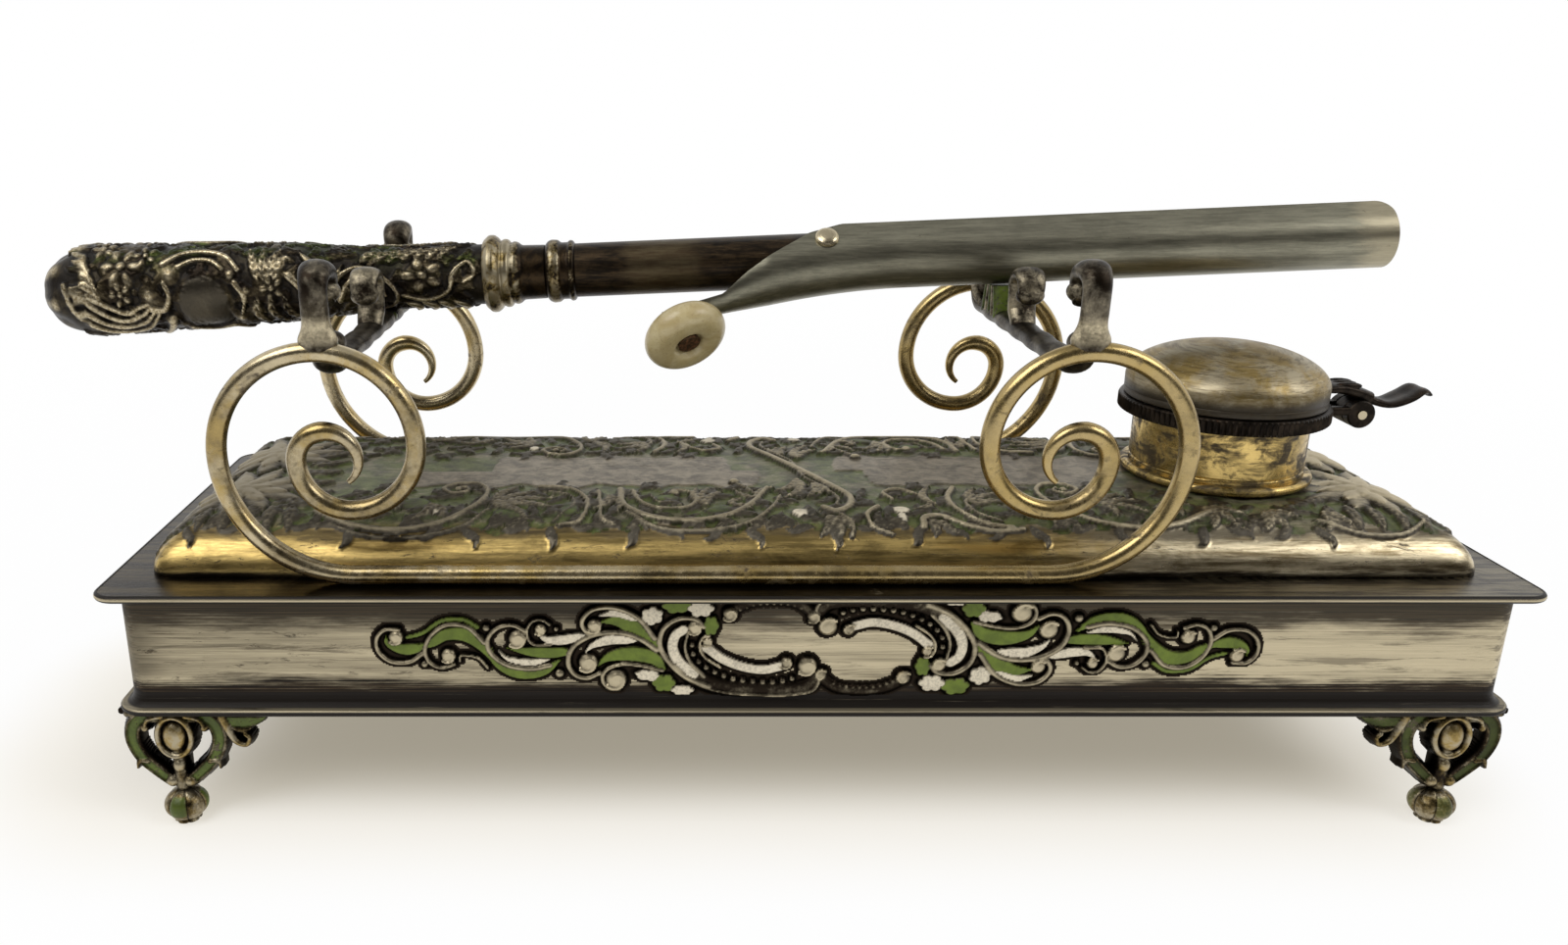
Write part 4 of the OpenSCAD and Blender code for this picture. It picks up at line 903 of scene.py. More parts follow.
def lathe(profile, sides=96):
    """Turned form round X from (place, radius) pairs; both ends close."""
    profile = np.array(profile, float)
    angle = np.linspace(0, 2 * np.pi, sides, endpoint=False)
    return loft([
        np.stack([np.full(sides, x), -r * np.cos(angle), r * np.sin(angle)], 1) for x, r in profile
    ])


def upright(path, x=0.0, y=0.0, z=0.0):
    """A flat path stood upright along X."""
    return np.column_stack([x + path[:, 0], np.full(len(path), y), z + path[:, 1]])


def rounded_profile(points, r):
    """A profile with its inner corners rounded."""
    steps = 4
    points = np.array(points, float)
    out = [points[0]]
    for a, b, c in zip(points[:-2], points[1:-1], points[2:]):
        before, after = a - b, c - b
        la, lc = np.linalg.norm(before), np.linalg.norm(after)
        cut = min(r, la * 0.45, lc * 0.45)
        p, q = b + before / la * cut, b + after / lc * cut
        for s in np.linspace(0, 1, steps + 1):
            out.append((1 - s) ** 2 * p + 2 * s * (1 - s) * b + s * s * q)
    out.append(points[-1])
    return np.array(out)


def sweep(path, across, thick, side, square=2.0, count=24, groove=0.0):
    """Bar along a path in space: across is its width along side, square its corners' power."""
    path = np.asarray(path, float)
    n = len(path)
    across = np.broadcast_to(across, n)
    thick = np.broadcast_to(thick, n)
    tangent = np.gradient(path, axis=0)
    tangent /= np.linalg.norm(tangent, axis=1)[:, None]
    side = np.asarray(side, float)
    up = np.cross(side, tangent)
    up /= np.linalg.norm(up, axis=1)[:, None]
    angle = np.linspace(0, 2 * np.pi, count, endpoint=False)
    c = np.sign(np.cos(angle)) * np.abs(np.cos(angle)) ** (2 / square)
    s = np.sign(np.sin(angle)) * np.abs(np.sin(angle)) ** (2 / square)
    s = s * (1 - groove * np.exp(-((c / 0.45) ** 2)))
    rings = (
        path[:, None]
        + side[None, None] * (c[None, :, None] * across[:, None, None] / 2)
        + up[:, None] * (s[None, :, None] * thick[:, None, None] / 2)
    )
    return loft(rings)


def ball(centre, r, rows=16, columns=24):
    """Round ball, or an oval one where r has three radii."""
    r = np.broadcast_to(np.asarray(r, float), 3)
    rings = []
    for a in np.linspace(-math.pi / 2, math.pi / 2, rows):
        t = np.linspace(0, 2 * np.pi, columns, endpoint=False)
        rings.append(np.stack([
            centre[0] + r[0] * math.cos(a) * np.cos(t),
            centre[1] + r[1] * math.cos(a) * np.sin(t),
            np.full(columns, centre[2] + r[2] * math.sin(a)),
        ], 1))
    return loft(rings)


def relief_plate(chasing, columns, rows, depth, margin=0.0):
    """Closed plate: its front is the raised work, seen from +Z, and its back lies depth below."""
    height = chasing.height.reshape(rows, columns)
    z = np.maximum(height, 0.04 if margin else -depth * 0.6)
    keep = height > -0.02 - 1.5 * margin
    cell = keep[:-1, :-1] | keep[1:, :-1] | keep[:-1, 1:] | keep[1:, 1:]
    x = chasing.x.reshape(rows, columns)
    y = chasing.y.reshape(rows, columns)
    number = np.arange(rows * columns).reshape(rows, columns)
    quads = np.stack([number[:-1, :-1], number[:-1, 1:], number[1:, 1:], number[1:, :-1]], -1)[cell]
    edges = np.concatenate([quads[:, [i, (i + 1) % 4]] for i in range(4)])
    key = edges[:, 0].astype(np.int64) * rows * columns + edges[:, 1]
    back_key = edges[:, 1].astype(np.int64) * rows * columns + edges[:, 0]
    rim = edges[~np.isin(key, back_key)]
    used = np.unique(quads)
    lookup = np.full(rows * columns, -1)
    lookup[used] = np.arange(len(used))
    front = np.stack([x.ravel()[used], y.ravel()[used], z.ravel()[used]], 1)
    back = front.copy()
    back[:, 2] = -depth
    n = len(used)
    q, r = lookup[quads], lookup[rim]
    faces = q.tolist() + (q[:, ::-1] + n).tolist()
    faces += np.stack([r[:, 1], r[:, 0], r[:, 0] + n, r[:, 1] + n], 1).tolist()
    return np.concatenate([front, back]), faces, used


def dress(material, *nodes):
    """Gives frame nodes their material."""
    for name in nodes:
        slots = frame["nodes"][name].data.materials
        slots.clear()
        slots.append(material)


# ---------------------------------------------------------------- sizes and colours


def colour_prop(name, description, *default):
    """Colour that a user can change."""
    return bpy.props.FloatVectorProperty(
        name=name, description=description, subtype="COLOR", default=default
    )


def length_prop(name, description, millimetres):
    """Length that a user can change."""
    return bpy.props.FloatProperty(
        name=name, description=description, unit="LENGTH", default=millimetres * MM
    )


class StandFinish(bpy.types.PropertyGroup):
    """Colours of the stand's metals and enamels."""

    silver: colour_prop("Silver", "Rubbed silver plate", 0.43, 0.37, 0.25)
    brass: colour_prop("Brass", "Brass that shows through the plate", 0.20, 0.155, 0.085)
    gilt: colour_prop("Gilt", "Gilding of the wires, the cup and the shoulder", 0.50, 0.36, 0.13)
    tarnish: colour_prop("Tarnish", "Brown-black tarnish", 0.022, 0.016, 0.011)
    pewter: colour_prop("Pewter", "Grey cast and chased metal", 0.165, 0.142, 0.105)
    nickel: colour_prop("Nickel", "Satin plating of the jaw", 0.31, 0.295, 0.22)
    copper: colour_prop("Copper", "Bare copper", 0.35, 0.16, 0.08)
    rust: colour_prop("Rust", "Brown of the steel rod", 0.064, 0.042, 0.022)
    grass: colour_prop("Grass green", "Green enamel of the scrollwork", 0.12, 0.165, 0.017)
    olive: colour_prop("Olive green", "Enamel of the cover's ground", 0.05, 0.065, 0.014)
    cream: colour_prop("Cream", "Pale enamel", 0.72, 0.64, 0.48)
    ivory: colour_prop("Ivory", "Light parts of the button", 0.50, 0.42, 0.23)
    ivory_deep: colour_prop("Deep ivory", "Darker clouds of the button", 0.40, 0.31, 0.14)
    ivory_ring: colour_prop("Ivory rings", "Rings in the button", 0.28, 0.20, 0.09)


class StandShape(bpy.types.PropertyGroup):
    """Sizes of the raised work and of small details."""

    cover_rise: length_prop("Cover relief", "Height of the cover's chasing", 0.9)
    cover_pitch: length_prop("Cover pitch", "Spacing of the cover's points", 0.4)
    scrollwork_rise: length_prop("Scrollwork relief", "Height of the front scrollwork", 1.1)
    scrollwork_pitch: length_prop("Scrollwork pitch", "Spacing of the scrollwork's points", 0.22)
    handle_rise: length_prop("Handle relief", "Height of the handle's chasing", 0.7)
    knurls: bpy.props.IntProperty(
        name="Knurls", description="Notches round the burner's collar", default=110
    )


# ---------------------------------------------------------------- stage


LENS, SENSOR, SHIFT_X = 28.125, 36, 0.0825
CAMERA_AT = (-13.41, -215.55, 119.6)
LOOK_DOWN = 17.83
# each soft lamp: place in metres, width and power
LAMPS = {
    "window_left": ((-0.45, -0.35, 0.75), 0.55, 3.6),
    "window_right": ((0.6, -0.25, 0.55), 0.35, 1.5),
}
LAMP_TARGET = (0, 0, 0.05)
WHITE, GREY = (1.0, 1.0, 1.0), (0.5, 0.5, 0.5)
FLOOR_REACH = 4.0


def put(name, data):
    """New object in the scene."""
    made = bpy.data.objects.new(name, data)
    bpy.context.scene.collection.objects.link(made)
    return made


def set_camera(scene):
    """Camera that looks down on the stand from the front."""
    data = bpy.data.cameras.new("camera")
    data.sensor_width = SENSOR
    data.lens = LENS
    data.shift_x = SHIFT_X
    data.clip_start = 0.01
    camera = put("camera", data)
    camera.location = [v * MM for v in CAMERA_AT]
    camera.rotation_euler = (math.radians(90 - LOOK_DOWN), 0, 0)
    scene.camera = camera


def hang_lamps():
    """Square soft lamps that point at the stand."""
    for name, (place, width, power) in LAMPS.items():
        data = bpy.data.lights.new(name, "AREA")
        data.shape = "SQUARE"
        data.size = width
        data.energy = power
        lamp = put(name, data)
        lamp.location = place
        way = Vector(LAMP_TARGET) - Vector(place)
        lamp.rotation_euler = way.to_track_quat("-Z", "Y").to_euler()


def set_world(scene):
    """White to the camera; a pale room with a dark front to reflections; grey as light."""
    scene.world = bpy.data.worlds.new("studio")
    room = Finish(scene.world)
    seen, glossy, sent = (
        room.add("ShaderNodeLightPath", None, None, f"Is {ray} Ray")
        for ray in ("Camera", "Glossy", "Transmission")
    )
    way = room.add("ShaderNodeTexCoord")
    ahead, up = (room.add("ShaderNodeSeparateXYZ", None, {0: way}, i) for i in (1, 2))
    ceiling = room.mix(up.rise(0.55, 0.95), (0.95, 0.95, 0.95), GREY)
    front = (ahead + up * 0.4).rise(0.15, -0.3)
    around = room.mix(front, ceiling, (0.07, 0.065, 0.06))
    colour = room.mix(glossy, GREY, around)
    colour = room.mix(seen.larger(sent), colour, WHITE)
    light = room.add("ShaderNodeBackground", None, {0: colour, 1: 1.0})
    room.add("ShaderNodeOutputWorld", None, {0: light})


def lay_floor():
    """Pale floor that takes a soft shadow near the stand and glows white away from it, with a painted warm shadow tint
    in its glow near the stand.
    """
    reach = FLOOR_REACH
    mesh = bpy.data.meshes.new("floor")
    corners = [(-reach, -reach, 0), (reach, -reach, 0), (reach, reach, 0), (-reach, reach, 0)]
    mesh.from_pydata(corners, [], [(0, 1, 2, 3)])
    floor = put("floor", mesh)
    paper = Finish(bpy.data.materials.new("floor_paper"))
    place = paper.add("ShaderNodeTexCoord", out=3)
    far = paper.add("ShaderNodeVectorMath", {"operation": "LENGTH"}, {0: place}, 1).rise(0.18, 0.5)
    side, deep = (paper.add("ShaderNodeSeparateXYZ", None, {0: place}, i).size() for i in (0, 1))
    past = ((side - 0.10).larger(0) ** 2 + (deep - 0.012).larger(0) ** 2) ** 0.5
    soft = paper.noise(place, 3.0, 3)
    white = paper.mix(soft * 0.2, (0.95, 0.96, 0.99), (0.92, 0.93, 0.96))
    near = paper.add("ShaderNodeBsdfDiffuse", None, {0: white})
    # painted shadow: the glow near the stand is tinted warm, in the colour of its shadow
    warmth = paper.mix(past.rise(0.0, 0.05), (1.0, 0.9, 0.68), WHITE)
    glow = paper.add("ShaderNodeEmission", None, {0: warmth, 1: 1.0})
    share = past.rise(0.0, 0.05) * 0.66 + far * 0.04 + 0.3
    both = paper.add("ShaderNodeMixShader", None, {0: share, 1: near, 2: glow})
    paper.add("ShaderNodeOutputMaterial", None, {0: both})
    mesh.materials.append(paper.owner)
    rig.stage(floor)


class STAND_OT_stage(bpy.types.Operator):
    """Sets up the camera, the soft lamps, the pale floor and the white background"""

    bl_idname = "tongs_stand.stage"
    bl_label = "Stage"

    def execute(self, context):
        set_camera(context.scene)
        hang_lamps()
        set_world(context.scene)
        lay_floor()
        context.scene.view_settings.view_transform = "Standard"
        return {"FINISHED"}


# ---------------------------------------------------------------- casket


class STAND_OT_casket(bpy.types.Operator):
    """Finishes the casing, the mouldings and the plain fittings of the frame"""

    bl_idname = "tongs_stand.casket"
    bl_label = "Casket"

    def execute(self, context):
        dress(finish("casing_silver"), "casing_band", "base_plate")
        dress(finish("rim_silver"), "cover_rim", "base_moulding")
        dress(finish("gilt_cup"), "burner_foot_ring", "burner_cup")
        dress(finish("burner_copper"), "wick_tube")
        dress(finish("cotton"), "wick", "fuel_wadding")
        dress(finish("screw_steel"), "lid_hinge_pin", "pivot_screw")
        dress(finish("rod_steel"), "tongs_rod")
        return {"FINISHED"}


# the cover: flat ledges beyond the dome, its shoulder and crown, its corners, its flange, and
# the plain round that the burner stands on
END_LEDGE, SIDE_LEDGE = 6.4, 8.0
SHOULDER_W, SHOULDER_H, CROWN, CORNER_POWER = 11.5, 8.0, 0.6, 6.0
FLANGE_INSET, FLANGE_CORNER = 0.62, 3.38
BURNER_SEAT = 17.2


def chase_cover(work, rise):
    """Draws the cover's relief, which is the same when the cover is turned end for end."""
    for s in (1, -1):
        left_band(work, s, rise)
        right_band(work, s, rise)
        end_flowers(work, s, rise)
        # small leaves between the stems
        for i, x in enumerate(np.arange(-108, 88, 3.6)):
            for j, y in enumerate((-11.0, -14.8, -18.6, -22.4, -25.8)):
                way = 83 * i + 139 * j
                spot = np.array([x + 1.8 * (j % 2), y])
                leaf = bends(spot, way, (2.6, 55), (1.6, -90))
                work.stroke(leaf * s, 1.7, rise * 0.5, leaf=True, ribs=0.8)


def cover_tools(work, s, rise):
    """Stem, tuft, enamel and bud strokes of the cover, turned by s."""

    def stem(wide, narrow, *points, lift=0.8, **how):
        work.stroke(through(*points) * s, wide, rise * lift, narrow, **how)

    def tuft(x, y, *tips, wide=2.0, lift=0.8, **how):
        for tip_x, tip_y in tips:
            way = np.array([tip_x - x, tip_y - y])
            bow = np.array([-way[1], way[0]]) * 0.16
            path = through((x, y), np.array([x, y]) + way * 0.5 + bow, (tip_x, tip_y)) * s
            work.stroke(path, wide, rise * lift, leaf=True, ribs=0.7, **how)

    def patch(colour, x, y, rx, ry, turn=0.0):
        work.pebble(s * x, s * y, rx, ry, rise * 0.45, turn, 0, colour, 0.16, 0.1)

    def bud(x, y, r):
        work.pebble(s * x, s * y, r, r, rise * 0.9)

    return stem, tuft, patch, bud


def left_band(work, s, rise):
    """Front band left of the middle."""
    stem, tuft, patch, bud = cover_tools(work, s, rise)
    # sweep that winds up into an eye, with its double along the edge
    stem(1.5, 1.1, (-83, -21.6), (-76, -25.6), (-68, -26.6), (-60.6, -24.2), (-56.4, -18.4),
         (-55.4, -12.6), (-57.6, -8.6), (-61.4, -8.6))
    stem(0.9, 0.8, (-80, -25.2), (-74, -27.8), (-66, -28.2), (-58, -25.8), (-54.2, -20.6), lift=0.6)
    stem(1.2, 0.6, (-61.4, -8.6), (-63.2, -11.2), (-61.4, -13.6), (-58.9, -12.6), (-59.4, -10.7),
         (-60.9, -11.2))
    bud(-60.7, -11.6, 0.8)
    tuft(-53.4, -19.2, (-49.6, -9.6), (-46.6, -12.8), (-43.6, -16.0), (-43.0, -20.0),
         (-47.4, -24.2), wide=2.1)
    tuft(-64.4, -18.6, (-61.6, -23.6), (-66.4, -24.0), wide=2.2)
    patch("cream", -63.2, -20.6, 0.9, 2.2, 20 * s)
    patch("green", -67.0, -18.0, 2.6, 2.8)
    patch("green", -50.4, -21.8, 3.0, 2.2)
    tuft(-72.0, -15.6, (-70.0, -21.4), (-74.4, -22.6), (-78.4, -20.0), wide=2.2)
    # arch with hanging lobes
    stem(1.2, 0.9, (-46.4, -10.4), (-41.2, -11.2), (-38.2, -15.4), (-37.6, -20.0), (-38.8, -24.6),
         (-42.0, -25.6))
    stem(0.8, 0.6, (-44.6, -12.6), (-41.0, -14.2), (-40.0, -18.6), (-41.6, -22.0), (-43.0, -24.6),
         lift=0.6)
    patch("green", -40.6, -20.0, 1.6, 3.0)
    stem(1.1, 0.8, (-36.0, -12.6), (-35.4, -18.6), (-35.0, -23.6), (-33.0, -25.4))
    tuft(-34.2, -14.4, (-32.4, -21.6), (-36.6, -21.0), wide=1.8)
    # great open scroll, double edged, and the smaller one inside it
    stem(1.5, 1.1, (-32.2, -11.6), (-31.4, -18.6), (-27.4, -23.0), (-20.6, -24.4), (-13.6, -22.6),
         (-9.4, -17.6), (-6.4, -10.8))
    stem(1.1, 0.8, (-30.8, -21.8), (-25.6, -26.2), (-17.4, -26.8), (-10.4, -24.8), (-6.6, -20.4),
         (-4.4, -14.6), lift=0.7)
    stem(1.1, 0.8, (-30.0, -12.4), (-28.6, -17.4), (-25.2, -20.4), (-20.8, -20.0), (-19.0, -16.4),
         (-20.4, -12.8), (-23.0, -12.4))
    bud(-22.8, -13.4, 1.0)
    stem(0.8, 0.6, (-27.0, -14.0), (-25.6, -17.4), (-23.0, -17.6), lift=0.6)
    tuft(-17.4, -19.0, (-18.8, -10.8), (-16.4, -10.6), (-14.2, -12.6), wide=2.0)
    tuft(-13.4, -18.6, (-9.6, -20.8), (-11.0, -16.0), wide=1.8)
    patch("green", -24.0, -15.4, 2.2, 1.6)
    patch("green", -15.0, -20.4, 3.0, 1.6, 20 * s)
    stem(0.8, 0.6, (-12.0, -8.0), (-9.4, -12.2), (-8.6, -15.6), (-9.6, -19.4), lift=0.7)
    bud(-12.0, -7.6, 1.1)
    tuft(-8.6, -15.6, (-5.2, -10.4), (-12.4, -11.4), wide=1.5)
    # hanging lobes along the edge
    for x in (-49.0, -29.2, -14.6, -8.8):
        tuft(x, -23.8, (x + 1.8, -26.7), (x - 1.8, -26.4), wide=1.6, lift=0.6)


def right_band(work, s, rise):
    """Stem that crosses between the plain panels, and the front band right of the middle."""
    stem, tuft, patch, bud = cover_tools(work, s, rise)
    stem(1.9, 1.5, (0.0, 0.0), (2.0, -3.8), (4.6, -8.8), (7.4, -14.4), (7.0, -19.0), (4.4, -21.4),
         (2.4, -19.8))
    stem(0.9, 0.8, (0.0, 0.0), (0.8, -5.0), (3.4, -10.2), (5.4, -15.2), (4.8, -18.6), lift=0.65)
    tuft(-0.8, -6.4, (-1.6, -12.4), (-3.8, -15.8), (-5.6, -12.6), wide=2.2)
    tuft(1.6, -8.8, (2.2, -14.6), (4.2, -14.0), (0.2, -15.0), wide=1.6)
    patch("cream", -1.7, -21.6, 1.5, 1.5)
    tuft(2.6, -23.2, (1.0, -28.0), (4.6, -28.2), (6.4, -26.4), wide=2.0, lift=0.7)
    stem(1.0, 0.8, (5.0, -22.6), (6.6, -25.0), (6.2, -28.0), lift=0.7)
    stem(1.2, 0.9, (11.6, -19.6), (9.4, -22.6), (10.0, -26.0), (12.8, -27.6))
    patch("cream", 15.4, -20.6, 1.7, 1.5)
    patch("cream", 15.2, -23.2, 0.9, 1.6)
    stem(1.5, 1.0, (18.2, -26.0), (18.8, -23.6), (21.6, -23.2), (25.4, -25.6), (30.0, -27.0),
         (34.6, -26.6))
    tuft(19.4, -24.4, (23.6, -27.6), (20.0, -28.0), wide=1.8, lift=0.7)
    stem(1.1, 0.7, (14.6, -16.4), (13.6, -13.4), (16.4, -11.6), (19.4, -14.4), (21.6, -18.6))
    tuft(21.0, -18.4, (17.6, -20.4), (20.8, -12.0), (22.4, -9.8), wide=1.8)
    stem(1.3, 0.9, (26.2, -10.8), (24.4, -15.4), (24.8, -20.6), (28.0, -24.8), (33.0, -26.2))
    stem(0.9, 0.7, (29.0, -14.4), (26.9, -18.0), (28.0, -22.2), (31.4, -24.6), lift=0.7)
    tuft(28.4, -18.6, (30.0, -11.0), (33.2, -13.4), (34.2, -17.4), wide=2.0)
    patch("green", 31.4, -20.4, 2.6, 1.8)
    # second sweep, mirrored, towards the burner
    stem(1.5, 1.1, (66.5, -22.0), (60.0, -25.4), (52.4, -26.0), (45.4, -23.6), (41.4, -17.8),
         (40.6, -12.4), (43.0, -8.8), (46.6, -9.4))
    stem(1.2, 0.6, (46.6, -9.4), (47.8, -12.0), (45.6, -13.8), (43.6, -12.4), (44.4, -10.9))
    bud(45.4, -11.9, 0.8)
    tuft(38.4, -18.6, (36.0, -10.4), (34.8, -14.8), (35.6, -23.8), (40.0, -25.6), wide=2.0)
    patch("cream", 49.6, -14.2, 1.1, 1.4)
    patch("green", 52.0, -18.6, 3.4, 2.2)
    tuft(50.0, -18.4, (54.4, -13.8), (57.4, -17.4), (56.8, -22.2), (51.0, -23.4), wide=2.1)
    tuft(60.6, -17.6, (62.0, -23.4), (65.4, -19.4), (57.8, -20.6), wide=2.0)
    patch("green", 66.0, -23.0, 2.6, 1.6, 8 * s)
    tuft(66.4, -20.2, (72.6, -22.8), (70.0, -25.6), (65.6, -26.8), wide=2.3)
    patch("green", 76.6, -23.4, 2.8, 1.5)
    tuft(75.4, -22.4, (81.6, -23.4), (78.4, -26.6), (74.4, -27.0), wide=2.3)
    stem(1.2, 0.9, (84.0, -24.4), (89.6, -27.4), (96.4, -27.6), (101.6, -24.6), lift=0.7)
    tuft(85.6, -22.0, (84.4, -27.2), (89.2, -25.2), wide=2.0)
    for x in (13.6, 27.8, 42.2, 56.0, 70.4):
        tuft(x, -23.8, (x + 1.8, -26.8), (x - 1.8, -26.5), wide=1.6, lift=0.6)


def end_flowers(work, s, rise):
    """Two many-petalled flowers with leaves round them at one end."""
    x = 98.5
    for y in (-10.6, 10.6):
        work.rosette(s * x, s * y, 11, 4.2, 12.0, 4.2, rise * 0.7, 8)
        work.rosette(s * x, s * y, 9, 2.6, 8.4, 3.6, rise * 0.75, 26, base=0.25)
        work.rosette(s * x, s * y, 6, 0.8, 5.0, 3.0, rise * 0.7, 4, base=0.45)
        work.pebble(s * x, s * y, 1.5, 1.5, rise * 0.8, base=0.45)
    for k, y in enumerate(np.linspace(-22.5, 22.5, 13)):
        lean = 0.7 * (-1) ** k
        leaf = through((x + 5.0, y * 0.86), (x + 9.0, y + lean), (x + 12.6, y * 1.04))
        work.stroke(leaf * s, 3.0, rise * 0.65, leaf=True, ribs=0.6)
    for y in (-23.4, 23.4):
        for dx in (-12.0, -8.4, -4.6, -0.8, 3.2, 7.0):
            leaf = through((x + dx * 0.9, y * 0.82), (x + dx + 0.6, y * 0.98), (x + dx, y * 1.16))
            work.stroke(leaf * s, 2.5, rise * 0.65, leaf=True, ribs=0.6)
    for y in np.linspace(-18, 18, 7):
        leaf = through((x - 8.0, y * 0.7), (x - 11.4, y * 0.95 + 0.8), (x - 14.6, y))
        work.stroke(leaf * s, 3.0, rise * 0.65, leaf=True, ribs=0.6)


def cover_skin(dome, pitch):
    """The dome's smooth skin: its flat coordinates and their reach, its points and normals."""
    half = dome / 2 - SHOULDER_W
    # lengths along the skin, and how far over the shoulder each one lies
    phi = np.linspace(0, math.pi / 2, 400)
    bit = np.hypot(SHOULDER_W * np.diff(np.sin(phi)), SHOULDER_H * np.diff(np.cos(phi)))
    run = np.concatenate([[0], np.cumsum(bit)])
    reach = half + run[-1]
    gs, gt = np.meshgrid(*(np.linspace(-r, r, 2 * round(r / pitch) + 1) for r in reach))
    over = [np.sin(np.interp(np.abs(g) - h, run, phi)) for g, h in ((gs, half[0]), (gt, half[1]))]
    most = np.maximum(*over)
    rounded = (over[0] ** CORNER_POWER + over[1] ** CORNER_POWER) ** (1 / CORNER_POWER)
    tuck = most / np.maximum(rounded, 1e-9)
    x = np.sign(gs) * (np.minimum(np.abs(gs), half[0]) + SHOULDER_W * over[0] * tuck)
    y = np.sign(gt) * (np.minimum(np.abs(gt), half[1]) + SHOULDER_W * over[1] * tuck)
    bulge = np.clip(np.minimum(1 - (gs / half[0]) ** 2, 1 - (gt / half[1]) ** 2), 0, 1)
    z = SHOULDER_H * np.sqrt(np.clip(1 - most**2, 0, 1)) + CROWN * bulge
    skin = np.stack([x, y, z], -1)
    out = np.cross(np.gradient(skin, axis=1), np.gradient(skin, axis=0))
    out /= np.maximum(np.linalg.norm(out, axis=2), 1e-9)[..., None]
    return gs, gt, reach, skin, out


def cover_heights(work, rise, reach):
    """Lift of each point over the skin, and its shares; the panels in the middle stay plain."""
    turned_x = np.where(work.y < 0, work.x, -work.x)
    side_y = np.abs(work.y)
    wave = np.sin(turned_x * 0.41) + 0.6 * np.sin(turned_x * 0.93 + 1.0)
    panel = np.zeros(len(side_y), bool)
    for x, half_l, half_w, unrest in ((-39, 32, 9.0, 0.9), (34, 23, 8.6, 0.8)):
        ends = half_l - 0.02 * side_y**2 + 1.2 * wave
        panel |= (side_y < half_w + unrest * wave) & (np.abs(turned_x - x) < ends)
    edge_y = 26.0 + 0.9 * np.sin(work.x * 0.33) + 0.7 * np.sin(work.x * 0.81)
    ground = (~panel) & (side_y < edge_y) & (np.abs(work.x) < 110.5)
    bare = work.height < 0.02
    shares = work.shares(rise)
    shares[ground & bare, 1] = 0.9
    shares[~ground & bare, 3] *= 0.5
    shares[panel & bare, 2] = 0.0
    shares[:, 0] = np.where(ground & bare, 0.0, shares[:, 0])

    lift = np.maximum(work.height, np.where(ground, -0.22, 0.0))
    from_burner = np.hypot(work.x - (BURNER_X - CASKET_X), work.y)
    lift = lift * np.clip((from_burner - BURNER_SEAT) / 2.0, 0, 1)
    foot = np.minimum(reach[0] - np.abs(work.x), reach[1] - side_y)
    return lift * np.clip((foot - 1.0) / 2.0, 0, 1), shares


def cover_flange(skin, rim, dome):
    """Flange round the foot of the skin: its top, its edge and its underside."""
    rows, columns = skin.shape[:2]
    number = np.arange(rows * columns).reshape(rows, columns)
    sides = [number[0, :-1], number[:-1, -1], number[-1, :0:-1], number[:0:-1, 0]]
    foot = skin.reshape(-1, 3)[np.concatenate(sides), :2]
    outer = rim / 2 - FLANGE_INSET
    inner = foot * (outer - FLANGE_CORNER) / (dome / 2 - FLANGE_CORNER)
    core = np.clip(inner, FLANGE_CORNER - outer, outer - FLANGE_CORNER)
    past = inner - core
    edge = core + past / np.maximum(np.linalg.norm(past, axis=1), 1e-9)[:, None] * FLANGE_CORNER
    loops = [
        (foot, DECK_Z), (foot * 0.5 + edge * 0.5, DECK_Z), (edge, DECK_Z), (edge, DECK_Z - FLANGE_T)
    ]
    points = np.concatenate([np.column_stack([at, np.full(len(at), z)]) for at, z in loops])
    n = len(foot)
    shares = np.zeros((len(points), 4))
    # painted shade: the hollow share darkens the flange in the crease next to the dome's foot
    shares[:n, 3] = 0.8
    return points, lattice(4, n, True) + [tuple(3 * n + k for k in range(n))], shares


class STAND_OT_cover(bpy.types.Operator):
    """Builds the chased cover: flange, rounded shoulder and relief"""

    bl_idname = "tongs_stand.cover"
    bl_label = "Chased cover"

    def execute(self, context):
        shape = context.scene.stand_shape
        rise = shape.cover_rise / MM
        rim = size("cover_rim")[:2]
        dome = rim - 2 * np.array([END_LEDGE, SIDE_LEDGE])
        gs, gt, reach, skin, out = cover_skin(dome, shape.cover_pitch / MM)
        work = Chasing(gs, gt)
        chase_cover(work, rise)
        lift, shares = cover_heights(work, rise, reach)
        points = skin.reshape(-1, 3) + out.reshape(-1, 3) * lift[:, None]
        points[:, 2] += DECK_Z
        shift = np.array([CASKET_X, 0, 0])
        cast = Casting().add(points + shift, lattice(*gs.shape), shares)
        points, faces, shares = cover_flange(skin, rim, dome)
        cast.add(points + shift, faces, shares)
        cast.piece("cover_dome_chased", "base", "dome_plate", finish("chased_cover"), "cover_dome")
        return {"FINISHED"}


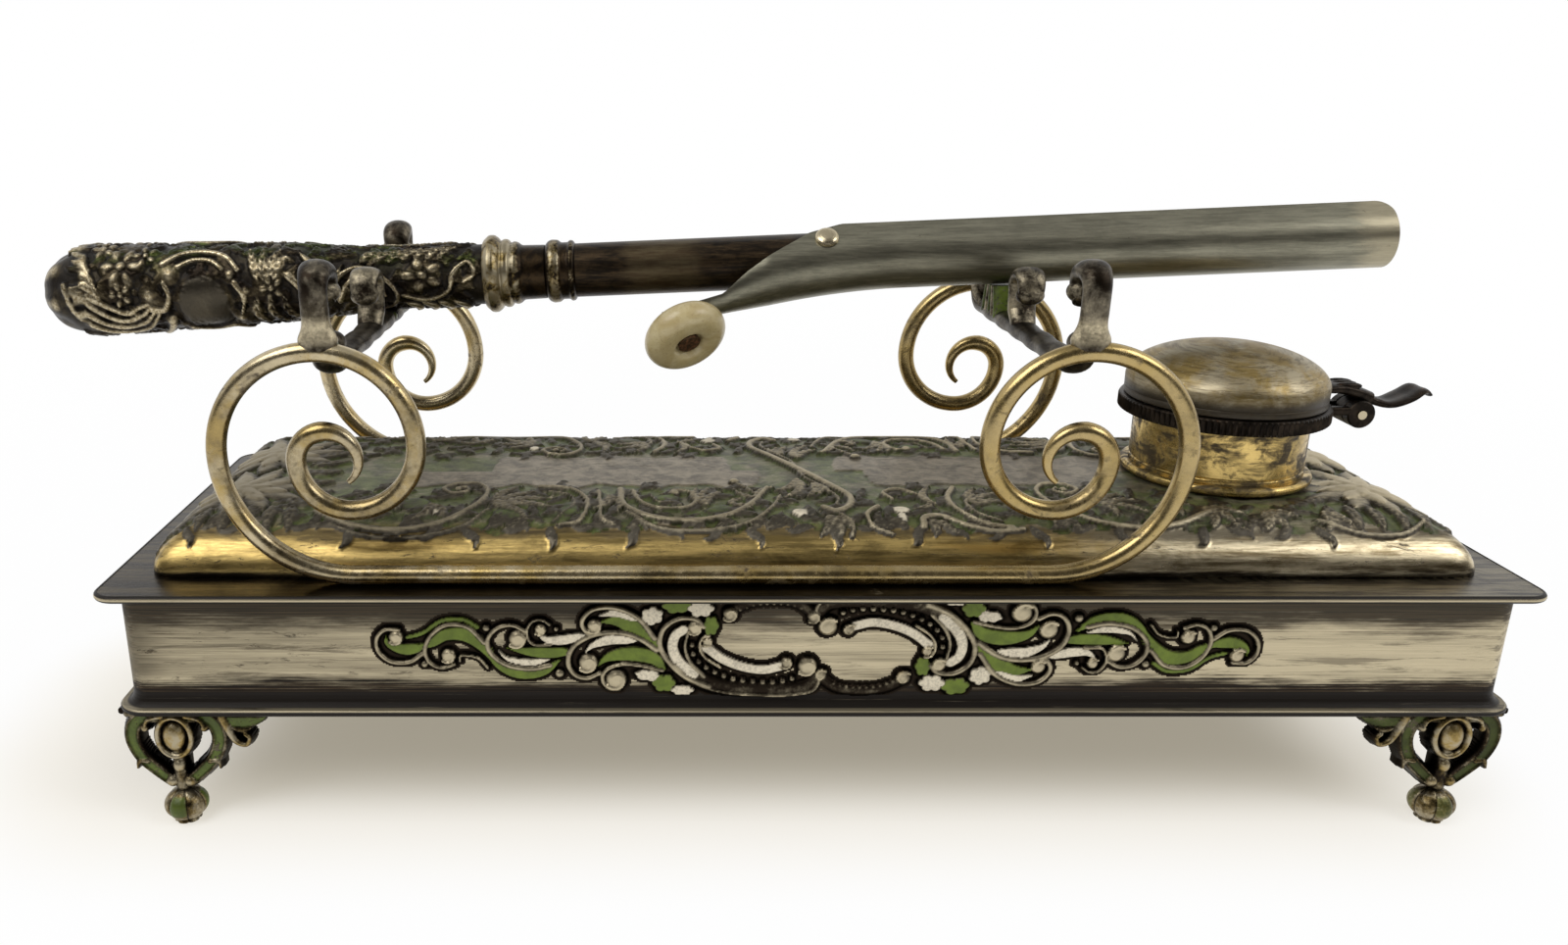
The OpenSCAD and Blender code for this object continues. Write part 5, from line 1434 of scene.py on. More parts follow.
def half_scrollwork(work, s, rise):
    """Right half of the front scrollwork; s = -1 turns it round for the left half."""

    def line(wide, narrow, *points, lift=0.8, **how):
        """Scroll line, from wide to narrow."""
        work.stroke(through(*points) * s, wide, rise * lift, narrow, **how)

    def filled(colour, wide, *points, lift=0.75, **how):
        """Leaf with enamel in it."""
        work.stroke(through(*points) * s, wide, rise * lift, leaf=True, fill=colour, rim=0.2,
                    depth=0.3, **how)

    def eye(x, y, r, lift=1.0):
        """Round end of a scroll, with a curl on it."""
        work.pebble(s * x, s * y, r, r, rise * lift)
        work.stroke(scroll((x, y), r * 0.35, r * 0.95, 40, 300) * s, r * 0.42, rise * 0.3,
                    base=rise * lift * 0.72)

    def oval(x, y, rx, ry, turn, colour):
        """Enamelled flower of six petals."""
        work.pebble(s * x, s * y, rx, ry, rise * 0.8, turn, 0, colour)
        for a in np.radians(np.arange(0, 360, 60) + turn):
            px, py = x + rx * 0.62 * math.cos(a), y + ry * 0.62 * math.sin(a)
            work.pebble(s * px, s * py, rx * 0.5, ry * 0.5, rise * 0.78, turn, 0, colour)

    # band over the plain oval, with its chain of beads, and the pale scroll inside it
    line(2.6, 3.2, (-0.4, 5.1), (1.1, 7.2), (3.9, 7.9), (8.3, 8.0), (14.6, 7.6), (19.4, 5.9),
         (22.2, 3.0), lift=0.5)
    line(0.8, 0.8, (-0.9, 4.8), (0.3, 7.8), (3.9, 8.7), (8.3, 8.8), (14.6, 8.3), (19.6, 6.6),
         (23.0, 3.2), lift=0.75)
    chain = through(
        (3.1, 5.6), (5.5, 6.3), (8.3, 6.5), (13.4, 5.9), (17.6, 4.0), (19.8, 1.8), (20.2, -0.4)
    )
    work.beads(chain * s, 0.62, rise * 0.72, 1.62)
    line(1.9, 1.9, (5.9, 3.6), (8.7, 4.2), (12.2, 3.6), (15.4, 2.2), (17.9, 0.2), lift=0.85,
         fill="cream", rim=0.24)
    line(0.8, 0.6, (15.6, 3.7), (18.0, 2.0), (19.0, 0.2), (18.5, -1.6), (17.4, -1.9), lift=0.9)
    eye(1.5, 3.5, 1.75)
    eye(4.9, 2.9, 1.15, 0.85)
    eye(17.7, -0.9, 1.0, 0.85)
    # lower band of the oval
    line(1.9, 1.9, (0.9, -5.8), (3.6, -7.6), (7.4, -8.1), (11.2, -7.6), (14.0, -6.2), lift=0.5)
    chain = through((2.4, -6.4), (5.0, -7.3), (9.6, -7.3), (12.6, -6.3))
    work.beads(chain * s, 0.42, rise * 0.62, 1.1)
    eye(0.7, -5.2, 1.25, 0.8)
    eye(14.1, -5.7, 1.4, 0.85)
    # flowers over and under the great scroll
    oval(21.7, 7.9, 1.9, 0.9, 0, "cream")
    oval(24.7, 6.6, 1.9, 1.6, 0, "green")
    oval(27.3, 5.2, 2.1, 1.0, -14, "cream")
    oval(17.2, -3.6, 1.3, 1.7, 0, "green")
    oval(22.7, -7.2, 2.3, 1.5, 8, "green")
    oval(18.8, -6.6, 2.1, 1.5, 0, "cream")
    oval(26.6, -5.3, 1.8, 1.6, 25, "cream")
    # great scroll at the side of the oval
    line(1.3, 1.1, (17.4, 7.2), (21.0, 5.6), (23.6, 3.2), (25.3, 0.0), (24.8, -3.0), (22.4, -4.8),
         (19.6, -4.7), (18.4, -3.4))
    line(2.3, 1.9, (20.0, 4.9), (22.1, 3.0), (23.3, 0.4), (22.9, -1.8), (21.6, -2.9), lift=0.9,
         fill="cream", rim=0.26)
    line(1.0, 0.8, (18.2, 5.4), (20.3, 3.0), (21.3, 0.4), (20.9, -2.2), lift=0.75)
    eye(19.7, -3.3, 1.35)
    # dark curl and the long leaf under it
    filled("green", 3.0, (24.6, 4.0), (26.6, 2.1), (30.0, 1.4), (33.6, 2.0), (35.4, 3.6))
    line(0.9, 0.9, (24.9, 4.3), (28.1, 3.5), (31.3, 3.2), (33.9, 4.1), (34.7, 5.9), (33.7, 7.5),
         (31.9, 7.7))
    eye(32.4, 5.9, 1.9)
    # two scrolls that wind up on the right, with leaves inside
    filled("green", 3.0, (25.6, 0.0), (28.4, -2.6), (32.0, -4.3), (35.0, -4.2))
    line(1.2, 1.0, (26.2, -1.4), (28.9, -5.0), (32.5, -6.7), (36.0, -6.4), (37.8, -4.4),
         (37.2, -2.6), (35.4, -2.3))
    line(1.6, 1.4, (29.0, -4.6), (32.0, -5.8), (35.2, -5.3), lift=0.85, leaf=True, fill="cream",
         rim=0.2)
    eye(35.8, -3.6, 1.35)
    line(1.3, 1.1, (25.9, 0.6), (28.9, -1.5), (32.1, -2.4), (36.0, -2.0), (39.2, 0.0), (40.2, 2.8),
         (39.2, 5.0), (37.2, 5.7), (35.2, 4.8))
    line(2.1, 1.6, (29.3, -0.9), (32.9, -1.2), (36.0, -0.2), (37.4, 1.2), lift=0.9, leaf=True,
         fill="cream", rim=0.2)
    eye(36.9, 2.9, 1.75)
    # arched scroll with a leaf that runs into it
    filled("green", 2.0, (41.6, 2.6), (44.4, 4.6), (48.4, 5.0), (51.6, 3.4), (53.6, 0.6))
    filled("green", 2.3, (39.4, 0.9), (42.8, 1.2), (46.3, 1.0), (50.0, 0.4))
    line(1.2, 0.9, (43.2, 3.4), (46.3, 4.0), (50.1, 3.3), (52.6, 1.2), (53.0, -1.2), (51.4, -3.2),
         (49.0, -3.7), (47.0, -2.7))
    line(1.3, 1.1, (43.2, 2.4), (46.3, 2.9), (49.9, 2.3), (51.5, 0.8), lift=0.85, leaf=True,
         fill="cream", rim=0.2)
    eye(48.2, -1.3, 1.65)
    filled("cream", 2.0, (37.6, -2.0), (40.8, -1.1), (43.6, -1.2), (45.2, -2.6), lift=0.85)
    line(0.8, 0.7, (43.0, -0.3), (45.8, -0.4), (46.7, -2.4), (45.8, -4.3), (44.2, -4.6),
         (43.0, -3.8))
    eye(44.5, -3.0, 1.1)
    # last two curls on a long stem
    filled("green", 2.8, (52.0, 3.0), (53.6, 0.2), (56.4, -1.9), (59.6, -2.0), (62.2, -0.4),
           (65.4, 0.5))
    line(0.7, 0.6, (53.2, 3.8), (54.8, 2.0), (57.4, 1.6), (57.6, 2.6))
    line(1.0, 0.9, (53.6, -0.6), (56.2, -3.4), (59.6, -3.7), (62.2, -1.8), (63.2, 0.9), (62.4, 3.0),
         (60.6, 3.8), (58.6, 3.2))
    line(0.8, 0.7, (54.6, -3.2), (57.0, -4.6), (60.4, -4.3), (63.4, -2.2), (66.0, -1.4), lift=0.5,
         fill="green", rim=0.2)
    eye(59.4, 1.6, 1.35)
    filled("green", 2.3, (63.4, 0.2), (66.4, 0.6), (69.0, -0.4), (69.4, -1.8))
    line(1.0, 0.9, (63.6, 1.3), (65.8, 2.8), (68.8, 2.7), (70.7, 0.9), (70.8, -1.4), (69.4, -2.9),
         (67.2, -2.9))
    eye(67.7, -1.6, 1.35)
    for x, y, r in ((41.6, 4.9, 0.85), (53.2, -3.2, 0.75), (63.4, 3.2, 0.7), (42.0, -3.0, 0.5)):
        work.pebble(s * x, s * y, r, r, rise * 0.8)


class STAND_OT_scrollwork(bpy.types.Operator):
    """Builds the enamelled scrollwork on the casket's front"""

    bl_idname = "tongs_stand.scrollwork"
    bl_label = "Front scrollwork"

    def execute(self, context):
        shape = context.scene.stand_shape
        pitch = shape.scrollwork_pitch / MM
        rise = shape.scrollwork_rise / MM
        half_l, half_h = 72.0, 9.2
        columns, rows = round(2 * half_l / pitch) + 1, round(2 * half_h / pitch) + 1
        x, y = np.meshgrid(np.linspace(-half_l, half_l, columns),
                           np.linspace(-half_h, half_h, rows))
        work = Chasing(x, y)
        for side in (1, -1):
            half_scrollwork(work, side, rise)
        points, faces, used = relief_plate(work, columns, rows, 0.3, 0.45)
        shares = work.shares(rise)[used]
        z = float(middle("front_ornament")[2])
        place = Matrix.Translation((CASKET_X, -WALL_HALF, z)) @ Matrix.Rotation(math.pi / 2, 4, "X")
        cast = Casting().add(points, faces, np.concatenate([shares, shares]), place)
        cast.piece("front_ornament_enamelled", "base", "front_enamel", finish("enamel_scrollwork"),
                   "front_ornament")
        return {"FINISHED"}


# ---------------------------------------------------------------- feet


def foot_front():
    """Pierced front of a foot: lyre loops, a cabochon and a hooked leaf, drawn in [along, up]."""
    pitch = 0.2
    columns, rows = round(27.6 / pitch) + 1, round(15.2 / pitch) + 1
    x, y = np.meshgrid(np.linspace(-9.4, 18.2, columns), np.linspace(-14.8, 0.4, rows))
    work = Chasing(x, y)
    for s in (-1, 1):
        loop = through(
            (1.6, -0.9), (4.4, -1.0), (6.6, -2.6), (7.2, -5.4), (6.1, -8.6), (3.6, -11.4),
            (1.6, -13.2),
        ) * np.array([s, 1])
        work.stroke(loop, 3.3, 1.3, 2.4, fill="green", rim=0.55, depth=0.45)
        work.stroke(through((s * 2.0, -1.0), (s * 4.2, -1.6), (s * 4.9, -3.0)), 1.3, 1.4, 0.7)
        work.pebble(s * 4.9, -3.2, 0.8, 0.8, 1.4)
        work.stroke(through((s * 5.2, -9.4), (s * 6.6, -9.3), (s * 6.9, -10.6)), 1.2, 1.2, 0.6)
        work.pebble(s * 1.5, -13.2, 1.15, 1.15, 1.5)
    work.stroke(np.array([[0.0, -7.5], [0.0, -14.2]]), 2.4, 1.1)
    ring = np.radians(np.linspace(0, 360, 49))
    work.pebble(-0.2, -4.8, 3.5, 4.3, 0.7)
    work.stroke(np.column_stack([-0.2 + 2.8 * np.sin(ring), -4.8 + 3.6 * np.cos(ring)]), 1.25, 1.5)
    work.pebble(-0.2, -4.8, 2.1, 2.9, 2.0)
    work.pebble(0.0, -10.2, 1.2, 1.5, 1.6)
    work.stroke(through((-7.6, -0.6), (0, -0.5), (8, -0.6), (17.6, -0.5)), 1.5, 1.1, 0.9)
    work.stroke(through((7.6, -1.5), (10.6, -2.2), (13.6, -1.9), (15.4, -1.1)), 2.7, 1.2, leaf=True,
                fill="green", rim=0.4)
    work.stroke(through((8.0, -1.2), (8.9, -3.6), (10.0, -5.6), (11.6, -6.2), (12.3, -5.0),
                        (11.6, -4.2)), 1.9, 1.4, 0.9)
    work.stroke(through((9.6, -3.2), (11.2, -3.6), (12.8, -3.2)), 1.5, 1.1, leaf=True)
    points, faces, used = relief_plate(work, columns, rows, 1.9)
    shares = work.shares(1.6)[used]
    return points, faces, np.concatenate([shares, shares])


def foot_casting():
    """Cast foot hanging from the origin, its wing towards +X and its front towards -Y."""
    cast = Casting()
    toe_h, toe_r = 5.8, 3.6
    points, faces, shares = foot_front()
    face_out = Matrix.Translation((0, -0.2, 0)) @ Matrix.Rotation(math.pi / 2, 4, "X")
    cast.add(points, faces, shares, face_out)
    profile = [(math.sin(a) * toe_h / 2, math.cos(a)) for a in np.radians(np.linspace(-60, 88, 18))]
    lobes, rings = 72, []
    turn = np.linspace(0, 2 * np.pi, lobes, endpoint=False)
    for z, r in [(-toe_h / 2, 0.01 / toe_r), (-toe_h / 2, 2.2 / toe_r)] + profile:
        lobed = toe_r * r * (1 - 0.12 * (1 - np.abs(np.cos(turn * 3 + 0.5))) ** 2)
        rings.append(np.stack([lobed * np.sin(turn), -lobed * np.cos(turn), np.full(lobes, z)], 1))
    points, faces = loft(rings)
    shares = np.tile([0.75, 0.0, 0.0, 0.0], (len(points), 1))
    ripple = np.cos(np.tile(turn, len(rings)) * 3 + 0.5)
    shares[(ripple > 0.25) & (points[:, 2] > -1.0) & (points[:, 2] < 2.2), 1] = 1
    # the grooves between the toe's lobes take the hollow share: dark oxide there, and painted shade
    shares[np.abs(ripple) < 0.18, 3] = 0.8
    cast.add(points, faces, shares, Matrix.Translation((0, 0, -FOOT_H + toe_h / 2)))
    # leaf that turns the corner, along the end of the case
    leaf = through((1.0, -0.8), (4.0, -2.0), (5.6, -4.4), (5.2, -6.6))
    for wide, drop in ((2.8, 0.0), (1.8, 1.2)):
        path = np.column_stack([np.full(len(leaf), -8.3), leaf[:, 0] + drop * 1.5,
                                leaf[:, 1] * (1 - 0.2 * drop)])
        cast.add(*sweep(path, 1.3, np.linspace(wide, 1.0, len(path)), (1, 0, 0), 2.4, 16),
                 (0.4, 0, 0, 0.5))
    bar = np.array([[-8.6, 0.0, -0.6], [-8.6, 9.5, -0.6]])
    points, faces = sweep(bar, 1.6, 1.2, (1, 0, 0), 3, 16)
    return cast.add(points, faces, (0.4, 0, 0, 0.5))


class STAND_OT_feet(bpy.types.Operator):
    """Builds the four cast feet"""

    bl_idname = "tongs_stand.feet"
    bl_label = "Feet"

    def execute(self, context):
        foot = foot_casting()
        points = np.concatenate(foot.points)
        shares = np.concatenate(foot.shares)
        foot_x, foot_y = 105.5, 34.85
        for x, end in ((-1, "left"), (1, "right")):
            for y, side in ((-1, "front"), (1, "rear")):
                corner = np.array([CASKET_X + x * foot_x, y * foot_y, FOOT_H])
                cast = Casting().add(points * np.array([-x, -y, 1]) + corner, foot.faces, shares)
                name = f"foot_{side}_{end}"
                cast.piece(name + "_cast", "base", "foot_enamel", finish("foot_bronze"), name)
        return {"FINISHED"}


# ---------------------------------------------------------------- scroll wires and cradles


class STAND_OT_wires(bpy.types.Operator):
    """Builds the front and rear scroll wires"""

    bl_idname = "tongs_stand.wires"
    bl_label = "Scroll wires"

    def execute(self, context):
        turns = ((20, 90), (16.4, 90), (14.7, 90), (10.75, 90), (8.1, 90), (4.85, 180), (4.12, 55))
        for name in ("front_scroll_wire", "rear_scroll_wire"):
            low, high = span(name)
            r = 1.58
            half = (high[0] - low[0]) / 2 - r
            centre = (low + high) / 2
            side = bends((half - turns[0][0], 0), 0, *turns, step=0.7)
            taper = np.ones(len(side)) * r
            tail = int(len(side) * 0.9)
            taper[tail:] = np.linspace(r, 0.45, len(side) - tail)
            path = np.concatenate([side[::-1] * np.array([-1, 1]), side])
            radii = np.concatenate([taper[::-1], taper])
            keep = np.concatenate([[True], np.linalg.norm(np.diff(path, axis=0), axis=1) > 1e-3])
            path, radii = path[keep], radii[keep]
            spine = upright(path, centre[0], centre[1], low[2] + r)
            cast = Casting().add(*sweep(spine, 2 * radii, 2 * radii, (0, 1, 0), 2.0, 28))
            cast.piece(name + "_drawn", "base", "gilt_wire", finish("gilt_wire"), name)
        return {"FINISHED"}


HANDLE_SEAT = -4.9


def cradle_casting(x, seat):
    """Cradle across the two wires at x; seat is the height of the leaf that carries the tongs."""
    cast = Casting()
    bar_drop, post_h, hook_r = 5.0, 12.1, 2.7
    dark, worn, leaf_green = (0.35, 0, 0, 0.2), (0.75, 0, 0, 0), (0.5, 1, 0, 0)

    def strap(path, across, thickness, shares, square=2.2):
        spine = np.column_stack([np.full(len(path), x), path[:, 0], WIRE_TOP + path[:, 1]])
        cast.add(*sweep(spine, across, thickness, (1, 0, 0), square, 28), shares)

    end = WIRE_Y - 2.2
    near = [(end, -1.6), (end - 3.4, -bar_drop + 0.6), (end - 9, -bar_drop)]
    bar = through(*[(-y, z) for y, z in near], (0, -bar_drop), *near[::-1])
    ripple = 1 + 0.05 * np.cos(bar[:, 0] * 0.7)
    strap(bar, 4.7 * ripple, 3.2 * ripple, (0.5, 0, 0, 0.15))
    for side in (-1, 1):
        flip = np.array([side, 1])
        # post with a flared foot on the wire, a waist and a rolled head
        top = post_h - hook_r - (2.75 if side > 0 else 1.75)
        shaft = through((WIRE_Y, -1.3), (WIRE_Y - 0.1, 1.2), (WIRE_Y + 0.3, 4.2))
        head = bends((WIRE_Y + 0.4, top), 90, (hook_r, 235), step=0.35)
        post = np.concatenate([shaft, head])
        height = post[:, 1]
        share = np.linspace(0, 1, len(post))
        foot = np.exp(-(((height - 0.1) / 1.7) ** 2)) * (share < 0.5)
        across = 4.2 + 1.9 * foot + 1.2 * np.exp(-(((share - 0.66) / 0.2) ** 2))
        thickness = 3.1 + 0.5 * foot - 0.5 * share + 0.7 * np.exp(-(((share - 0.62) / 0.2) ** 2))
        spine = np.column_stack([np.full(len(post), x), post[:, 0] * side, WIRE_TOP + height])
        points, faces = sweep(spine, across, thickness, (side, 0, 0), 2.1, 32)
        shares = np.tile([0.6, 0.0, 0.0, 0.0], (len(points), 1))
        # the cream share carries a painted highlight round the post's flared foot on the wire
        up = points[:, 2] - WIRE_TOP
        shares[:, 2] = np.clip((up + 0.6) / 1.2, 0, 1) * np.clip((4.4 - up) / 2, 0, 1)
        cast.add(points, faces, shares)
        cast.add(*ball((x, side * (WIRE_Y + 0.4 - 1.9 * hook_r), WIRE_TOP + top - 0.8),
                       (2.9, 2.0, 2.0)), worn)
        # leaves and a bead in the corner by the post
        for tilt, wide in ((-1.5, 2.6), (0, 3.0), (1.5, 2.6)):
            low, climb = (WIRE_Y - 8.6, -bar_drop + 0.6), (WIRE_Y - 5.0, -bar_drop + 2.2)
            rib = through(low, climb, (WIRE_Y - 2.4, -0.2), (WIRE_Y - 1.5, 3.0)) * flip
            lean = x + tilt * np.linspace(1, 0.6, len(rib))
            spine = np.column_stack([lean, rib[:, 0], WIRE_TOP + rib[:, 1]])
            swell = wide * np.sin(np.linspace(0.5, 2.8, len(rib)))
            leaf = sweep(spine, swell, 1.5, (1, 0, 0), 2.0, 18)
            cast.add(*leaf, leaf_green if tilt >= 0 else worn)
        cast.add(*ball((x + 0.6, side * (WIRE_Y - 6.2), WIRE_TOP - bar_drop + 3.6), (2.1, 1.9, 1.9),
                       14, 20), dark)
    # middle curl with its ball
    r = 2.5
    stalk = through((0.4, -bar_drop), (3.0, -bar_drop + 3.4))
    curl = np.concatenate([stalk, bends((3.1, 1.0), 90, (1.6, 0), (r, 225), step=0.35)])
    share = np.linspace(0, 1, len(curl))
    strap(curl, 4.2 + 1.1 * np.sin(share * 3.1), 3.0 - 0.9 * share, (0.75, 0, 0, 0))
    cast.add(*ball((x, -1.4, WIRE_TOP + 1.6), (2.5, 1.8, 1.8)), worn)
    # leaf strip that rises to carry the tongs
    tongs_y = PIVOT[1]
    for k in range(5):
        foot_y = tongs_y + 4.3 * (k - 2) / 2
        head_y = tongs_y + 2.7 * (k - 2) / 2
        h = max(seat + bar_drop, 0.4)
        rib = np.array([[foot_y, -bar_drop], [foot_y * 0.5 + head_y * 0.5, -bar_drop + h * 0.6],
                        [head_y, seat]])
        strap(rib, 4.8, 1.9, leaf_green if k % 2 == 0 else worn, 2.4)
    return cast


class STAND_OT_cradles(bpy.types.Operator):
    """Builds the two cast cradles that carry the tongs"""

    bl_idname = "tongs_stand.cradles"
    bl_label = "Cradles"

    def execute(self, context):
        for name in ("left_cradle", "right_cradle"):
            x = float(middle(name)[0])
            if name == "left_cradle":
                seat = HANDLE_SEAT
            else:
                axis_z = PIVOT[2] + (x - PIVOT[0]) * math.tan(TILT)
                seat = axis_z - JAW_OUT - JAW_GAP - WIRE_TOP
            cast = cradle_casting(x, seat)
            cast.piece(name + "_cast", "base", "cradle_metal", finish("cradle_pewter"), name)
        return {"FINISHED"}


# ---------------------------------------------------------------- burner


def hinge_barrel(y0, y1):
    """Barrel round the lid's hinge pin, between two places across."""
    profile = [(y0, 0.01), (y0, 2.3), (y0 + 0.2, 2.5), (y1 - 0.2, 2.5), (y1, 2.3), (y1, 0.01)]
    points, faces = lathe(profile, 40)
    return np.column_stack([HINGE[0] + points[:, 1], points[:, 0], HINGE[2] + points[:, 2]]), faces


class STAND_OT_burner(bpy.types.Operator):
    """Builds the knurled collar, the snuffer lid and its thumb lever"""

    bl_idname = "tongs_stand.burner"
    bl_label = "Burner"

    def execute(self, context):
        self.collar(context.scene.stand_shape.knurls)
        self.lid()
        self.lever()
        return {"FINISHED"}

    def collar(self, knurls):
        """Collar with fine upright notches, and the two lugs of the hinge."""
        r, t = 17.8, 2.7
        cast = Casting()
        points_per_knurl = 6
        n = knurls * points_per_knurl
        turn = np.linspace(0, 2 * np.pi, n, endpoint=False)
        wave = (0.5 - 0.5 * np.cos(turn * knurls)) ** 0.7
        rings = []
        for z, radius, cut in (
            (-2.0, 3.4, 0), (-2.0, 14.15, 0), (0, 14.15, 0), (0, r - 0.5, 0),
            (0.15, r - 0.15, 0.5), (0.3, r, 1), (t - 0.6, r, 1), (t - 0.35, r - 0.1, 0.3),
            (t - 0.1, r - 0.3, 0), (t, r - 0.6, 0), (t, 3.4, 0), (t, 3.25, 0),
        ):
            ring = radius - 0.42 * cut * wave
            rings.append(np.stack([BURNER_X + ring * np.cos(turn), ring * np.sin(turn),
                                   np.full(n, CUP_TOP + z)], 1))
        points, faces = loft(rings)
        cast.add(points, faces[:-2] + lattice_bridge(len(rings), n))
        for side in (-1, 1):
            y0, y1 = sorted((side * 1.55, side * 3.45))
            cast.add(*hinge_barrel(y0, y1))
            y, z = (y0 + y1) / 2, CUP_TOP + 0.75
            arm = np.array([[BURNER_X + r - 1.5, y, z], [HINGE[0] - 1, y, z]])
            cast.add(*sweep(arm, 1.9, 1.5, (0, 1, 0), 5, 20))
        cast.piece("knurled_collar_cut", "collar", "dark_collar", finish("dark_collar"),
                   "knurled_collar")

    def lid(self):
        """Low domed lid with a soft edge."""
        r, wall, skirt, rise = 17.0, 0.8, 3.0, 7.0
        low = float(span("burner_lid")[0][2])
        outer = [
            (skirt + rise * math.sin(a), r * math.cos(a))
            for a in np.radians(np.linspace(0, 89.5, 26))
        ]
        inner = [
            (skirt + (rise - wall) * math.sin(a), (r - wall) * math.cos(a))
            for a in np.radians(np.linspace(89.5, 0, 14))
        ]
        profile = [(0.0, r - wall + 0.1), (0.0, r - 0.25), (0.12, r - 0.06), (0.35, r)]
        profile += [(1.0, r - 0.03), (1.2, r - 0.16), (1.45, r - 0.03)]
        profile += outer + [(outer[-1][0], 0.01)]
        shell = [(low + z, radius) for z, radius in profile]
        inner = [(inner[0][0], 0.01)] + inner + [(0.0, r - wall + 0.1)]
        hollow = [(low + z, radius) for z, radius in inner]
        sides = 144
        points, _ = lathe(shell + hollow, sides)
        points = np.column_stack([BURNER_X + points[:, 1], points[:, 2], points[:, 0]])
        cast = Casting().add(points, lattice(len(shell + hollow), sides, True))
        cast.piece("burner_lid_spun", "lid", "lid_plate", finish("lid_brass"), "burner_lid")

    def lever(self):
        """Strap, knuckle and hollowed thumb pad of the lid's lever."""
        cast = Casting()
        hx, hz = HINGE[0], HINGE[2]
        cast.add(*hinge_barrel(-1.5, 1.5))
        tab = through((-6.6, 4.4), (-3.0, 4.3), (0.2, 3.3), (2.2, 2.4))
        spine = upright(tab, hx, 0, hz)
        cast.add(*sweep(spine, np.linspace(6.4, 4.4, len(tab)), np.linspace(1.6, 2.6, len(tab)),
                        (0, 1, 0), 3.0, 28))
        for y in (-1.7, 0, 1.7):
            cast.add(*ball((hx - 2.4, y, hz + 4.9), (2.6, 0.8, 0.7), 10, 16))
        blade = through((1.0, 3.0), (3.4, 1.9), (6.0, 1.5), (9.0, 2.7), (11.2, 4.1), (12.4, 3.4))
        share = np.linspace(0, 1, len(blade))
        spine = upright(blade, hx, 0, hz)
        width = 4.0 + 3.0 * np.sin(np.clip((share - 0.2) / 0.8, 0, 1) * 2.6)
        cast.add(*sweep(spine, width, 2.0 - 1.0 * share, (0, 1, 0), 2.2, 32, groove=0.35))
        cast.piece("thumb_lever_cast", "lid", "dark_collar", finish("dark_collar"), "thumb_lever")


def lattice_bridge(rows, columns):
    """Quads that join the last ring back to the first."""
    last = (rows - 1) * columns
    return [(last + j, last + (j + 1) % columns, (j + 1) % columns, j) for j in range(columns)]


# ---------------------------------------------------------------- tongs


def handle_r(reach):
    """Radius of the handle at a distance left of the pivot."""
    return np.interp(reach, (64, 81, 101, 137), (5.8, 5.5, 7.1, 8.3))


def chase_handle(work, girth, rise):
    """Relief round the handle: shields in scroll frames, flowers and leaves; y goes round it."""
    for i, x in enumerate(np.arange(66.5, 139, 2.6)):
        for j in range(14):
            y = girth * (j / 14 - 0.5 + (i % 2) / 28)
            way = 97 * i + 61 * j
            for lap in (-girth, 0, girth):
                work.stroke(bends((x, y + lap), way, (2.2, 120)), 1.9, rise * 0.6, 0.5, leaf=True,
                            ribs=0.8)
                if (i + j) % 3 == 0:
                    work.pebble(x + 1.3, y + lap + 0.6, 0.6, 0.6, rise * 0.62)
    for lap in (-1, 0, 1):
        for s, y0 in ((1, lap * girth), (-1, (lap + 0.5) * girth)):
            handle_motif(work, s, y0, rise)


